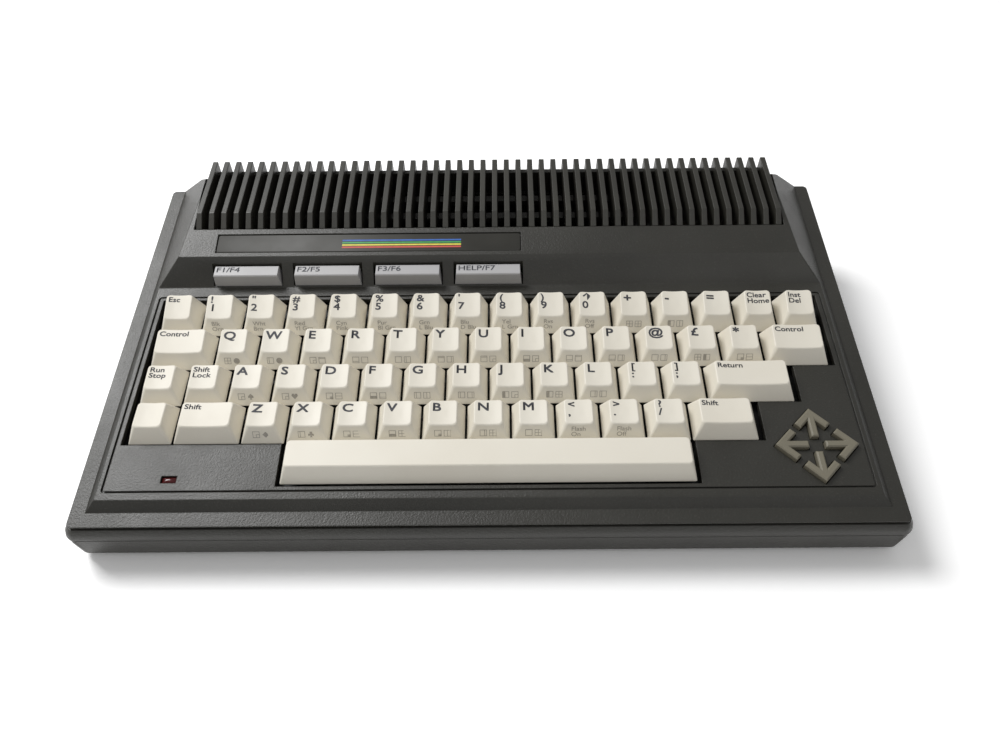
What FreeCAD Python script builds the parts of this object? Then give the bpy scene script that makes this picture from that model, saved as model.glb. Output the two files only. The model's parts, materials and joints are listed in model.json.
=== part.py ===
import FreeCAD, Part
import functools
import math
import os
import re
import Sketcher
from FreeCAD import Placement, Rotation, Vector

# Vintage home computer: a dark wedge case with a moulded vent grille, a sculpted keyboard,
# a board inside and sockets along the rear wall.
# Sizes are millimetres and degrees. The deck frame lies in the plane of the brim: x to the right,
# y from the front edge of the brim to the back, z out of the brim. The table frame is level and
# has its zero on the table under that front edge.

SIZES = {
    # Stance
    "tilt_angle": 7.5,
    "brim_height": 23.7,
    "foot_drop": 4.0,
    # Shells
    "corner_radius": 2.0,
    "brim_edge": 0.7,
    "parting_gap": 1.2,
    "wall_thickness": 2.5,
    "shell_clearance": 0.3,
    "rim_thickness": 1.9,
    "rim_depth": 6.5,
    "skirt_thickness": 1.8,
    "skirt_depth": 3.5,
    "cut_overrun": 5.0,
    # Raised panel and ridge, in steps from the front edge to the back
    "bezel_inset": 6.1,
    "panel_rise": 3.7,
    "panel_front_border": 1.51,
    "panel_side_border": 1.7,
    "panel_back_border": 1.39,
    "hump_gap": 5.4,
    "hump_run": 9.8,
    "hump_edge_rise": 14.5,
    "crest_run": 31.2,
    "crest_rise": 20.3,
    "shoulder_run": 5.5,
    "shoulder_drop": 5.3,
    "rear_run": 7.5,
    "rear_strip": 6.0,
    "form_radius": 0.9,
    # Groove round the panel
    "groove_side_inset": 1.8,
    "groove_front_inset": 3.2,
    "groove_width": 0.8,
    "groove_depth": 0.9,
    "groove_radius": 1.6,
    # Lower shell
    "lip_flare": 0.5,
    "band_flare": 2.0,
    "band_drop": 3.6,
    "bulge_flare": 2.9,
    "bulge_drop": 6.0,
    "waist_flare": 3.05,
    "waist_drop": 8.0,
    "hem_flare": 2.6,
    "hem_drop": 19.5,
    "keel_flare": 2.0,
    "keel_spare": 7.25,
    # Key block
    "key_pitch": 18.65,
    "key_gap": 0.9,
    "wide_key_share": 1.5,
    "return_key_share": 2.0,
    "space_key_share": 9.0,
    "space_start_share": 3.5,
    "key_base_rise": 3.2,
    "key_travel": 3.8,
    "well_side_gap": 2.4,
    "well_front_gap": 0.7,
    "well_back_gap": 2.9,
    # Keycaps
    "cap_side_inset": 3.1,
    "cap_front_inset": 4.4,
    "cap_back_inset": 1.5,
    "cap_base_radius": 0.8,
    "cap_top_radius": 1.7,
    "cap_wall": 1.3,
    "cap_roof": 2.0,
    "cap_dish": 0.6,
    "stem_width": 5.0,
    "stem_drop": 8.7,
    "stem_clearance": 0.3,
    "stem_end_gap": 0.3,
    "digit_cap_front": 7.5,
    "digit_cap_back": 10.2,
    "upper_cap_front": 7.3,
    "upper_cap_back": 8.8,
    "middle_cap_front": 7.3,
    "middle_cap_back": 7.9,
    "lower_cap_front": 7.4,
    "lower_cap_back": 7.3,
    "space_cap_front": 7.3,
    "space_cap_back": 6.9,
    "space_side_inset": 2.3,
    "space_back_inset": 1.3,
    "space_stem_spread": 60.0,
    # Function keys
    "function_side_margin": 20.1,
    "function_width": 31.7,
    "function_space": 5.97,
    "function_front_margin": 0.9,
    "function_depth": 6.4,
    "function_top_drop": 3.5,
    "function_bevel": 0.5,
    "function_taper": 1.0,
    "function_travel": 2.5,
    "function_end_gap": 1.2,
    "function_gap": 0.4,
    # Cursor keys
    "cursor_left_gap": 2.7,
    "cursor_right_gap": 2.3,
    "cursor_front_gap": 1.0,
    "cursor_root_share": 0.2,
    "cursor_span_share": 0.43,
    "cursor_arm_share": 0.18,
    "cursor_stem_share": 0.56,
    "cursor_proud": 2.4,
    "cursor_chamfer": 0.6,
    "cursor_travel": 1.8,
    "cursor_end_gap": 0.4,
    "cursor_gap": 0.4,
    # Keyboard plate and its board
    "plate_side_gap": 0.5,
    "plate_rim_gap": 2.9,
    "plate_back_run": 1.9,
    "plate_top_drop": 1.5,
    "plate_thickness": 2.5,
    "plate_rim": 2.0,
    "circuit_thickness": 1.6,
    # Lamp
    "lamp_side_margin": 21.1,
    "lamp_front_margin": 4.95,
    "lamp_width": 6.0,
    "lamp_depth": 2.9,
    "lamp_sink": 0.2,
    "lamp_gap": 0.15,
    # Badge strip
    "badge_side_margin": 20.9,
    "badge_width": 143.6,
    "badge_front_margin": 2.2,
    "badge_depth": 10.6,
    "badge_back_margin": 2.9,
    "badge_recess": 1.0,
    "badge_thickness": 0.8,
    "badge_gap": 0.2,
    # Vent grille
    "vent_margin": 19.1,
    "vent_floor": 2.0,
    "vent_end_gap": 0.57,
    "fin_count": 48,
    "fin_top_width": 2.5,
    "fin_root_width": 3.5,
    "fin_gap": 0.3,
    "fin_front_run": 7.2,
    "fin_stand": 3.07,
    "fin_tip_drop": 1.4,
    "fin_overhang": 1.0,
    "fin_heel_inset": 0.8,
    "fin_root_rise": 6.0,
    "rail_run": 6.7,
    "rail_drop": 6.5,
    "rail_thickness": 3.2,
    "grille_wall_drop": 5.7,
    "grille_wall_inset": 4.0,
    "grille_wall": 2.4,
    "grille_end_width": 1.2,
    "cross_bar_width": 4.0,
    "cross_bar_height": 3.0,
    "cross_bar_run": 15.2,
    "cross_bar_step": 12.0,
    # Feet and screws
    "foot_radius": 7.0,
    "foot_sink": 0.6,
    "foot_side_inset": 27.7,
    "foot_front_y": 22.0,
    "foot_back_inset": 21.4,
    "boss_radius": 3.4,
    "boss_drop": 10.5,
    "boss_inset": 6.4,
    "boss_front_y": 18.0,
    "boss_back_inset": 19.0,
    "screw_radius": 1.4,
    "screw_bite": 0.05,
    "screw_clearance": 0.4,
    "screw_head_radius": 2.9,
    "screw_head_height": 2.0,
    "screw_head_gap": 0.3,
    "screw_sink": 4.0,
    "screw_reach": 6.0,
    # Main board
    "board_lift": 5.0,
    "board_side_gap": 7.9,
    "board_depth": 117.9,
    "board_rear_gap": 1.0,
    "board_peg_radius": 3.0,
    "board_peg_margin": 10.0,
    # Chips
    "chip_width": 14.0,
    "small_chip_width": 7.0,
    "chip_height": 4.0,
    "large_chip_length": 50.0,
    "large_chip_space": 2.0,
    "small_chip_length": 22.0,
    "small_chip_space": 4.0,
    "chip_front_margin": 14.0,
    "chip_row_step": 56.0,
    # Rear sockets, their middles as shares of the board's half width
    "power_share": 0.865,
    "edge_slot_share": 0.55,
    "serial_share": 0.235,
    "cassette_share": 0.095,
    "expansion_share": -0.218,
    "first_joystick_share": -0.53,
    "second_joystick_share": -0.65,
    "video_share": -0.795,
    "modulator_share": -0.94,
    "din_radius": 7.6,
    "din_depth": 7.5,
    "din_body": 19.0,
    "din_length": 14.0,
    "din_wall": 1.0,
    "din_lift": 10.0,
    "mini_din_radius": 4.8,
    "mini_din_depth": 6.0,
    "mini_din_body": 14.0,
    "mini_din_length": 12.0,
    "mini_din_wall": 0.9,
    "mini_din_lift": 7.6,
    "socket_gap": 0.3,
    "socket_sink": 0.3,
    "edge_slot_width": 58.0,
    "edge_slot_height": 11.4,
    "edge_notch": 8.0,
    "edge_tongue_width": 48.0,
    "expansion_width": 62.0,
    "expansion_height": 13.0,
    "expansion_body_depth": 12.0,
    "expansion_slot_depth": 8.0,
    "expansion_wall": 2.0,
    "expansion_lip": 4.0,
    "modulator_width": 15.0,
    "modulator_depth": 42.0,
    "modulator_height": 20.0,
    "jack_radius": 4.1,
    "jack_bore": 1.6,
    "jack_lift": 11.0,
    # Right side switch and button
    "switch_rear_margin": 45.4,
    "switch_lift": 20.0,
    "switch_length": 22.0,
    "switch_height": 13.0,
    "switch_depth": 12.0,
    "switch_wall": 1.6,
    "switch_gap": 0.4,
    "rocker_end_gap": 1.0,
    "rocker_back": 2.6,
    "rocker_pin_radius": 1.2,
    "rocker_pin_inset": 4.2,
    "rocker_reach": 1.0,
    "rocker_angle": 12.0,
    "reset_rear_margin": 71.4,
    "reset_radius": 3.5,
    "reset_gap": 0.3,
    "reset_proud": 2.2,
    "reset_travel": 1.5,
    "reset_length": 8.4,
    "reset_wall": 2.0,
    # Keyboard cable
    "cable_side_margin": 51.2,
    "cable_width": 30.0,
    "cable_thickness": 1.0,
    "cable_header": 6.0,
    "header_front_run": 19.9,
    # Vents in the base
    "base_slot_count": 10,
    "base_slot_pitch": 8.0,
    "base_slot_width": 3.0,
    "base_slot_length": 46.0,
    "base_slot_margin": 34.0,
}

# Keys by row, front row first, each a name and a width in key pitches
ONE, WIDE, DOUBLE, LONG = "1", "wide_key_share", "return_key_share", "space_key_share"


def row_of(prefix, names):
    """Keys one pitch wide, side by side."""
    return [(f"{prefix}_{name}", ONE) for name in names]


KEY_ROWS = {
    "space": [("space_bar", LONG)],
    "lower": [("shared_lower_left", ONE), ("shift_key_left", WIDE)] + row_of("letter_key", "zxcvbnm")
             + row_of("shared_lower", range(3)) + [("shift_key_right", WIDE)],
    "middle": row_of("shared_middle_left", range(2)) + row_of("letter_key", "asdfghjkl")
              + row_of("shared_middle", range(2)) + [("return_key", DOUBLE)],
    "upper": [("control_key_left", WIDE)] + row_of("letter_key", "qwertyuiop")
             + row_of("shared_upper", range(3)) + [("control_key_right", WIDE)],
    "digit": row_of("shared_digit", range(16)),
}
CURSOR_KEYS = ("cursor_key_up", "cursor_key_left", "cursor_key_down", "cursor_key_right")
FUNCTION_KEYS = range(4)


def row_end(profile):
    """Right end of a row in key pitches from the left end of the block."""
    return "(" + " + ".join(width for name, width in KEY_ROWS[profile]) + ")"


# Places and sizes that follow from the sizes above, each a sum of names
PLACES = {
    "key_block_half": f"{row_end('digit')} * key_pitch / 2",
    "key_block_depth": f"{len(KEY_ROWS)} * key_pitch",
    "half_brim": "key_block_half + well_side_gap + panel_side_border + groove_width + groove_side_inset"
                 " + panel_rise + bezel_inset",
    "ridge_half": "half_brim - bezel_inset",
    "panel_front_y": "bezel_inset + panel_rise",
    "groove_front_y": "panel_front_y + groove_front_inset",
    "border_front_y": "groove_front_y + groove_width",
    "space_row_y": "border_front_y + panel_front_border + well_front_gap",
    "well_back_y": "space_row_y + key_block_depth - key_gap / 2 + well_back_gap",
    "groove_back_y": "well_back_y + panel_back_border + groove_width",
    "hump_foot_y": "groove_back_y + hump_gap",
    "hump_edge_y": "hump_foot_y + hump_run",
    "badge_front_y": "hump_edge_y + badge_front_margin",
    "badge_left_x": "badge_side_margin - key_block_half",
    "vent_front_y": "badge_front_y + badge_depth + badge_back_margin",
    "vent_half_width": "ridge_half - vent_margin",
    "crest_y": "vent_front_y + crest_run",
    "shoulder_y": "crest_y + shoulder_run",
    "shoulder_rise": "crest_rise - shoulder_drop",
    "brim_depth": "shoulder_y + rear_run",
    "rear_wall": "brim_depth * cos(tilt_angle)",
    "origin_back": "(brim_depth * cos(tilt_angle) - bulge_flare * cos(tilt_angle)"
                   " + bulge_drop * sin(tilt_angle)) / 2",
    "deck_slope": "(crest_rise - hump_edge_rise) / (crest_y - hump_edge_y)",
    "keel_drop": "keel_spare + (brim_height - foot_drop + brim_depth * sin(tilt_angle)) / cos(tilt_angle)",
    "fin_pitch": "(2 * vent_half_width - 2 * vent_end_gap - fin_root_width) / (fin_count - 1)",
    "fin_bend_y": "vent_front_y + fin_front_run",
    "fin_bend_rise": "hump_edge_rise + (fin_bend_y - hump_edge_y) * deck_slope + fin_stand",
    "fin_tip_y": "brim_depth + fin_overhang",
    "fin_tip_rise": "crest_rise - fin_tip_drop",
    "fin_heel_y": "brim_depth - fin_heel_inset",
    "rail_foot_y": "vent_front_y + rail_run",
    "grille_wall_y": "brim_depth - grille_wall_inset",
    "grille_wall_top": "crest_rise - grille_wall_drop",
    "cross_bar_first_y": "vent_front_y + cross_bar_run",
    "function_pitch": "function_width + function_space",
    "function_front_y": "hump_foot_y + function_front_margin",
    "function_top": "hump_edge_rise - function_top_drop",
    "function_bottom": "function_travel + function_end_gap - plate_top_drop",
    "cursor_room": f"key_block_half * 2 + panel_side_border - {row_end('lower')} * key_pitch",
    "cursor_reach": "(cursor_room - cursor_left_gap - cursor_right_gap) / 2",
    "cursor_x": "key_block_half + well_side_gap + panel_side_border - cursor_right_gap - cursor_reach",
    "cursor_y": "border_front_y + cursor_front_gap + cursor_reach",
    "cursor_top": "panel_rise + cursor_proud",
    "cursor_bottom": "cursor_travel + cursor_end_gap - plate_top_drop",
    "cursor_root": "cursor_reach * cursor_root_share",
    "cursor_span": "cursor_reach * cursor_span_share",
    "cursor_arm": "cursor_reach * cursor_arm_share",
    "plate_skirt": "stem_drop - key_base_rise + key_travel + stem_end_gap - plate_top_drop"
                   " - plate_thickness",
    "plate_rim_back_y": "hump_foot_y - plate_rim_gap",
    "plate_back_y": "hump_edge_y + plate_back_run",
    "lamp_x": "lamp_side_margin - key_block_half",
    "lamp_y": "border_front_y + lamp_front_margin",
    "foot_side_x": "half_brim - foot_side_inset",
    "foot_back_y": "rear_wall - foot_back_inset",
    "boss_x": "half_brim - boss_inset",
    "boss_step": "(brim_depth - boss_front_y - boss_back_inset) / 2",
    "boss_hole_radius": "screw_radius + screw_bite",
    "pillar_hole_radius": "screw_radius + screw_clearance",
    "screw_recess_radius": "screw_head_radius + screw_head_gap",
    "board_half_width": "boss_x - boss_radius - board_side_gap",
    "board_back": "rear_wall - wall_thickness - board_rear_gap",
    "board_front_y": "board_back - board_depth",
    "board_peg_x": "board_half_width - board_peg_margin",
    "chip_row_y": "board_front_y + chip_front_margin",
    "large_chip_step": "large_chip_length + large_chip_space",
    "small_chip_step": "small_chip_length + small_chip_space",
    "switch_y": "rear_wall - switch_rear_margin",
    "reset_y": "rear_wall - reset_rear_margin",
    "reset_housing": "2 * (reset_radius + reset_wall)",
    "reset_back": "reset_length - reset_proud + reset_travel + reset_gap",
    "cable_x": "cable_side_margin - key_block_half",
    "header_front_y": "chip_row_y + chip_width + header_front_run",
    "base_slot_y": "board_front_y + base_slot_margin",
}

doc = FreeCAD.newDocument("HomeComputer")
sheet = doc.addObject("Spreadsheet::Sheet", "Sizes")
for row, (size_name, size_value) in enumerate(SIZES.items(), start=1):
    sheet.set(f"A{row}", size_name)
    sheet.set(f"B{row}", str(size_value))
    sheet.setAlias(f"B{row}", size_name)
doc.recompute()


@functools.lru_cache(maxsize=None)
def bound(text):
    """Write a sum of names as an expression on the sheet."""
    def cell(match):
        word = match.group(0)
        if word in PLACES:
            return f"({bound(PLACES[word])})"
        return f"Sizes.{word}" if word in SIZES else word
    return re.sub(r"[a-z]+(?:_[a-z]+)+", cell, text)


@functools.lru_cache(maxsize=None)
def value(text):
    """Work a sum of names out as a plain number."""
    result = sheet.evalExpression(bound(text))
    return float(getattr(result, "Value", result))


# Places that several sub-parts share
RIM_DROP = "(brim_edge + parting_gap)"
PANEL_UNDER = "(panel_rise - wall_thickness)"
CAVITY_BACK = "(brim_depth - rear_strip)"
CAVITY_FRONT = "(panel_front_y + skirt_thickness)"
CAVITY_HALF = f"(ridge_half - {PANEL_UNDER} - wall_thickness * sqrt(2))"
FLOOR_TOP = "(foot_drop + wall_thickness)"
BOARD_UNDER = f"({FLOOR_TOP} + board_lift)"
BOARD_TOP = f"({BOARD_UNDER} + circuit_thickness)"
PLATE_HALF = f"({CAVITY_HALF} - plate_side_gap)"
PLATE_FRONT = f"({CAVITY_FRONT} + shell_clearance)"
PLATE_UNDER = "(-plate_top_drop - plate_thickness)"
CIRCUIT_TOP = f"({PLATE_UNDER} - plate_skirt)"
SIDE_WALL = "(half_brim + shell_clearance)"
SOCKET_FACE = "(rear_wall - wall_thickness - socket_gap)"
BACKWARDS = (0, 1, 0)


def deck_rise(y):
    """Height of the ridge's top plane over the brim at a place y."""
    return f"(hump_edge_rise + (({y}) - hump_edge_y) * deck_slope)"


def base_rise(y, lift="foot_drop"):
    """Deck height of the level plane that lies a given lift over the table, at a place y."""
    return f"((({lift}) - brim_height - ({y}) * sin(tilt_angle)) / cos(tilt_angle))"


def table_point(y, z):
    """Level place and height over the table of a point given in the deck frame."""
    return (f"(({y}) * cos(tilt_angle) - ({z}) * sin(tilt_angle))",
            f"(brim_height + ({y}) * sin(tilt_angle) + ({z}) * cos(tilt_angle))")


def deck_point(y, z):
    """Deck place of a point given in the table frame."""
    return (f"(({y}) * cos(tilt_angle) + (({z}) - brim_height) * sin(tilt_angle))",
            f"((({z}) - brim_height) * cos(tilt_angle) - ({y}) * sin(tilt_angle))")


def rear_place(z):
    """Deck y of the upright rear wall at a deck height z."""
    return f"(brim_depth + ({z}) * tan(tilt_angle))"


def place(item, x="0", y="0", z="0", frame="deck"):
    """Put an object at a point of the deck frame or of the table frame."""
    if frame == "deck":
        ahead = f"({y}) * cos(tilt_angle) - ({z}) * sin(tilt_angle) - origin_back"
        above = f"brim_height + ({y}) * sin(tilt_angle) + ({z}) * cos(tilt_angle)"
        item.Placement = Placement(Vector(0, 0, 0), Rotation(Vector(1, 0, 0), value("tilt_angle")))
        item.setExpression("Placement.Rotation.Angle", bound("tilt_angle"))
    else:
        ahead = f"({y}) - origin_back"
        above = z
    item.setExpression("Placement.Base.x", bound(x))
    item.setExpression("Placement.Base.y", bound(ahead))
    item.setExpression("Placement.Base.z", bound(above))
    return item


def new_body(name):
    return doc.addObject("PartDesign::Body", name)


def new_sketch(body, role, lift="0", turn=None, shift=None):
    """Sketch on one of the body's own planes, lifted, turned or shifted from it."""
    sketch = body.newObject("Sketcher::SketchObject", f"{body.Name}_sketch")
    plane = next(item for item in body.Origin.OriginFeatures if item.Role == role)
    sketch.AttachmentSupport = [(plane, "")]
    sketch.MapMode = "FlatFace"
    if turn:
        sketch.AttachmentOffset = Placement(Vector(0, 0, 0), Rotation(Vector(1, 0, 0), value(turn)))
        sketch.setExpression("AttachmentOffset.Rotation.Angle", bound(turn))
    if shift:
        sketch.setExpression("AttachmentOffset.Base.y", bound(shift))
    sketch.setExpression("AttachmentOffset.Base.z", bound(lift))
    return sketch


def hold_point(geometry, point, x, y):
    """Rules that hold one point of a sketch at sums of sizes."""
    return [(Sketcher.Constraint("DistanceX", -1, 1, geometry, point, value(x)), x),
            (Sketcher.Constraint("DistanceY", -1, 1, geometry, point, value(y)), y)]


def hold_radius(geometry, radius):
    return [(Sketcher.Constraint("Radius", geometry, value(radius)), radius)]


def add_rules(sketch, rules):
    """Add constraints together and bind those that carry a sum of sizes."""
    first = sketch.ConstraintCount
    sketch.addConstraint([rule for rule, text in rules])
    for number, (rule, text) in enumerate(rules, start=first):
        if text:
            sketch.setExpression(f"Constraints[{number}]", bound(text))


def draw_outline(sketch, points):
    """Closed outline of straight lines through points given as sums of sizes."""
    first = sketch.GeometryCount
    count = len(points)
    spots = [Vector(value(x), value(y), 0) for x, y in points]
    for index in range(count):
        sketch.addGeometry(Part.LineSegment(spots[index], spots[(index + 1) % count]), False)
    rules = [(Sketcher.Constraint("Coincident", first + index, 2, first + (index + 1) % count, 1), None)
             for index in range(count)]
    for index, (x, y) in enumerate(points):
        rules += hold_point(first + index, 1, x, y)
    add_rules(sketch, rules)
    return sketch


def draw_rounded(sketch, left, right, low, high, radius):
    """Rectangle with four equal corner arcs."""
    first = sketch.GeometryCount
    x0, x1, y0, y1, r = (value(text) for text in (left, right, low, high, radius))
    centres = [(x1 - r, y0 + r), (x1 - r, y1 - r), (x0 + r, y1 - r), (x0 + r, y0 + r)]
    sides = [((x0 + r, y0), (x1 - r, y0)), ((x1, y0 + r), (x1, y1 - r)),
             ((x1 - r, y1), (x0 + r, y1)), ((x0, y1 - r), (x0, y0 + r))]
    for quarter, ((start, end), centre) in enumerate(zip(sides, centres)):
        sketch.addGeometry(Part.LineSegment(Vector(*start, 0), Vector(*end, 0)), False)
        circle = Part.Circle(Vector(*centre, 0), Vector(0, 0, 1), r)
        begin = (quarter - 1) * math.pi / 2
        sketch.addGeometry(Part.ArcOfCircle(circle, begin, begin + math.pi / 2), False)
    rules = [(Sketcher.Constraint("Tangent", first + index, 2, first + (index + 1) % 8, 1), None)
             for index in range(8)]
    middles = [(f"{right} - {radius}", f"{low} + {radius}"), (f"{right} - {radius}", f"{high} - {radius}"),
               (f"{left} + {radius}", f"{high} - {radius}"), (f"{left} + {radius}", f"{low} + {radius}")]
    for quarter, (x, y) in enumerate(middles):
        arc = first + 2 * quarter + 1
        rules += hold_radius(arc, radius) + hold_point(arc, 3, x, y)
    add_rules(sketch, rules)
    return sketch


def draw_circle(sketch, x, y, radius):
    """Circle about a point given as sums of sizes."""
    circle = Part.Circle(Vector(value(x), value(y), 0), Vector(0, 0, 1), value(radius))
    number = sketch.addGeometry(circle, False)
    add_rules(sketch, hold_point(number, 3, x, y) + hold_radius(number, radius))
    return sketch


def add_pad(body, sketch, length, symmetric=False, kind="Pad", down=False):
    """Pad or pocket of a sketch, to one side or to both."""
    feature = body.newObject(f"PartDesign::{kind}", f"{body.Name}_{kind.lower()}")
    feature.Profile = sketch
    feature.setExpression("Length", bound(length))
    feature.Refine = False
    if symmetric:
        feature.SideType = "Symmetric"
    feature.Reversed = down
    return feature


def add_loft(body, sections, kind="AdditiveLoft"):
    """Ruled loft through sketches of one body."""
    feature = body.newObject(f"PartDesign::{kind}", f"{body.Name}_{kind.lower()}")
    feature.Profile = sections[0]
    feature.Sections = sections[1:]
    feature.Ruled = True
    feature.Refine = False
    return feature


def prism_along_x(name, points, start, length):
    """Solid with one outline in the y z plane, from a start x to the right."""
    body = new_body(name)
    add_pad(body, draw_outline(new_sketch(body, "YZ_Plane", start), points), length)
    return body


def prism_up(name, points, start, height):
    """Solid with one outline in the x y plane, from a start height upwards."""
    body = new_body(name)
    add_pad(body, draw_outline(new_sketch(body, "XY_Plane", start), points), height)
    return body


def block(name, x, y, z, length, width, height):
    """Box with its low corner at x, y, z."""
    item = doc.addObject("Part::Box", name)
    for axis, text in zip("xyz", (x, y, z)):
        item.setExpression(f"Placement.Base.{axis}", bound(text))
    for side, text in zip(("Length", "Width", "Height"), (length, width, height)):
        item.setExpression(side, bound(text))
    return item


def rod(name, x, y, z, radius, height, axis=(0, 0, 1)):
    """Cylinder from x, y, z along an axis."""
    item = doc.addObject("Part::Cylinder", name)
    item.Placement = Placement(Vector(0, 0, 0), Rotation(Vector(0, 0, 1), Vector(*axis)))
    for direction, text in zip("xyz", (x, y, z)):
        item.setExpression(f"Placement.Base.{direction}", bound(text))
    item.setExpression("Radius", bound(radius))
    item.setExpression("Height", bound(height))
    return item


def fuse(name, pieces):
    item = doc.addObject("Part::MultiFuse", name)
    item.Shapes = pieces
    item.Refine = False
    return item


def group(name, pieces):
    """Separate solids kept together as one object."""
    item = doc.addObject("Part::Compound", name)
    item.Links = pieces
    return item


def cut(name, base, tools):
    item = doc.addObject("Part::Cut", name)
    item.Base = base
    item.Tool = tools[0] if len(tools) == 1 else fuse(f"{name}_tools", tools)
    item.Refine = False
    return item


def common(name, pieces):
    item = doc.addObject("Part::MultiCommon", name)
    item.Shapes = pieces
    item.Refine = False
    return item


parts = {}


def finish(name, item):
    """Give a sub-part the name that its file has."""
    item.Label = name
    parts[name] = item
    return item


def both_sides(half, low, high):
    """Right and left wedges that bevel a ridge at 45 degrees, from a half width inwards."""
    out = f"{half} + cut_overrun"
    right = [(half, low), (out, low), (out, high), (f"{half} - ({high} - {low})", high)]
    return right, [(f"-({x})", z) for x, z in right]


def dress(body, kind, side, size, picked):
    """Fillet or chamfer of some edges or faces of a body's last feature."""
    base = body.Tip
    feature = body.newObject(f"PartDesign::{kind}", f"{body.Name}_{kind.lower()}")
    feature.Base = (base, picked)
    feature.setExpression(side, bound(size))
    feature.Refine = False
    body.Tip = feature


def make_ridge(name, points, half, low):
    """Long raised form with one side outline and both flanks bevelled."""
    body = new_body(name)
    add_pad(body, draw_outline(new_sketch(body, "YZ_Plane"), points), f"2 * {half}", symmetric=True)
    flanks = new_sketch(body, "XZ_Plane")
    for wedge in both_sides(half, low, "(crest_rise + cut_overrun)"):
        draw_outline(flanks, wedge)
    body.Tip = add_pad(body, flanks, "2 * (brim_depth + cut_overrun)", symmetric=True, kind="Pocket")
    return body


def rounded_plate(name, left, right, low, high, radius, start, height, hole=None):
    """Flat plate or ring with rounded corners; a hole is a second set of four sides and a radius."""
    body = new_body(name)
    sketch = draw_rounded(new_sketch(body, "XY_Plane", start), left, right, low, high, radius)
    if hole:
        draw_rounded(sketch, *hole)
    add_pad(body, sketch, height)
    return body


def frame_ring(name, half, low, high, start, height, width):
    """Square-cornered ring."""
    body = new_body(name)
    sketch = new_sketch(body, "XY_Plane", start)
    inside = f"({half} - {width})", f"({low} + {width})", f"({high} - {width})"
    for x, near, far in ((half, low, high), inside):
        draw_outline(sketch, [(f"-{x}", near), (x, near), (x, far), (f"-{x}", far)])
    add_pad(body, sketch, height)
    return body


def unit_x(units):
    """Deck x of a place counted in key pitches from the left end of the block."""
    return f"(({units}) * key_pitch - key_block_half)"


def row_y(row):
    """Deck y of the front edge of a row of keys, counted from the space bar's."""
    return f"(space_row_y + {row} * key_pitch)"


def key_places():
    """Every key as its name, row profile and width, with the middle of its front edge."""
    for row, (profile, keys) in enumerate(KEY_ROWS.items()):
        left = "space_start_share" if profile == "space" else "0"
        for name, width in keys:
            yield name, profile, width, unit_x(f"{left} + {width} / 2"), row_y(row)
            left = f"{left} + {width}"


def stem_places(width):
    """Places of a key's stems beside its middle."""
    return ["0", "-space_stem_spread", "space_stem_spread"] if width == LONG else ["0"]


def make_cap(profile, width):
    """Hollow keycap with a dished, tilted top and a guide stem, about the middle of its front edge."""
    long_cap = width == LONG
    side_inset = "space_side_inset" if long_cap else "cap_side_inset"
    back_inset = "space_back_inset" if long_cap else "cap_back_inset"
    front_rise, back_rise = f"{profile}_cap_front", f"{profile}_cap_back"
    half = f"(({width} * key_pitch - key_gap) / 2)"
    low, high = "(key_gap / 2)", "(key_pitch - key_gap / 2)"
    top_half = f"({half} - {side_inset})"
    top_low, top_high = f"({low} + cap_front_inset)", f"({high} - {back_inset})"
    tilt = f"atan(({back_rise} - {front_rise}) / ({top_high} - {top_low}))"
    body = new_body(f"{profile}_cap_{len(parts)}")
    base = draw_rounded(new_sketch(body, "XY_Plane"), f"-{half}", half, low, high, "cap_base_radius")
    top = new_sketch(body, "XY_Plane", front_rise, turn=tilt, shift=top_low)
    top_depth = f"(({top_high} - {top_low}) / cos({tilt}))"
    draw_rounded(top, f"-{top_half}", top_half, "0", top_depth, "cap_top_radius")
    add_loft(body, [base, top])
    if not long_cap:
        reach = f"(({top_half} * {top_half} + cap_dish * cap_dish) / (2 * cap_dish))"
        dish = new_sketch(body, "XZ_Plane", f"-{top_low}", turn=tilt, shift=front_rise)
        draw_circle(dish, "0", f"{reach} - cap_dish", reach)
        add_pad(body, dish, "2 * (key_pitch + cut_overrun)", symmetric=True, kind="Pocket")
    roof = f"({front_rise} - cap_roof)"
    sides = [new_sketch(body, "XY_Plane"), new_sketch(body, "XY_Plane", roof)]
    for sketch, wide, near, far in ((sides[0], half, low, high), (sides[1], top_half, top_low, top_high)):
        x, y0, y1 = f"({wide} - cap_wall)", f"({near} + cap_wall)", f"({far} - cap_wall)"
        draw_outline(sketch, [(f"-{x}", y0), (x, y0), (x, y1), (f"-{x}", y1)])
    add_loft(body, sides, kind="SubtractiveLoft")
    stems = new_sketch(body, "XY_Plane", "-stem_drop")
    for middle in stem_places(width):
        x0, x1 = f"({middle} - stem_width / 2)", f"({middle} + stem_width / 2)"
        y0, y1 = "(key_pitch / 2 - stem_width / 2)", "(key_pitch / 2 + stem_width / 2)"
        draw_outline(stems, [(x0, y0), (x1, y0), (x1, y1), (x0, y1)])
    add_pad(body, stems, f"stem_drop + {roof}")
    return body


QUARTER_TURNS = [lambda x, y: (x, y), lambda x, y: (f"(-{y})", x),
                 lambda x, y: (f"(-{x})", f"(-{y})"), lambda x, y: (y, f"(-{x})")]


def arrow_outline(gap, quarter):
    """Outline of one cursor key, grown by a gap and turned by quarter turns to the left."""
    grow = f"{gap} * sqrt(2)"
    reach, arm = f"(cursor_reach + {grow})", "(cursor_arm / sqrt(2))"
    side = f"(cursor_arm / 2 + {gap})"
    half = [("0", reach),
            (f"(cursor_span + {grow})", "(cursor_reach - cursor_span)"),
            (f"(cursor_span - {arm})", f"(cursor_reach - cursor_span - {arm} - {grow})"),
            (side, f"(cursor_reach - 2 * {arm} - {grow} - {side})"),
            (side, f"(cursor_root - {gap})")]
    points = half + [(f"(-{x})", y) for x, y in reversed(half[1:])]
    return [QUARTER_TURNS[quarter](x, y) for x, y in points]


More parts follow.
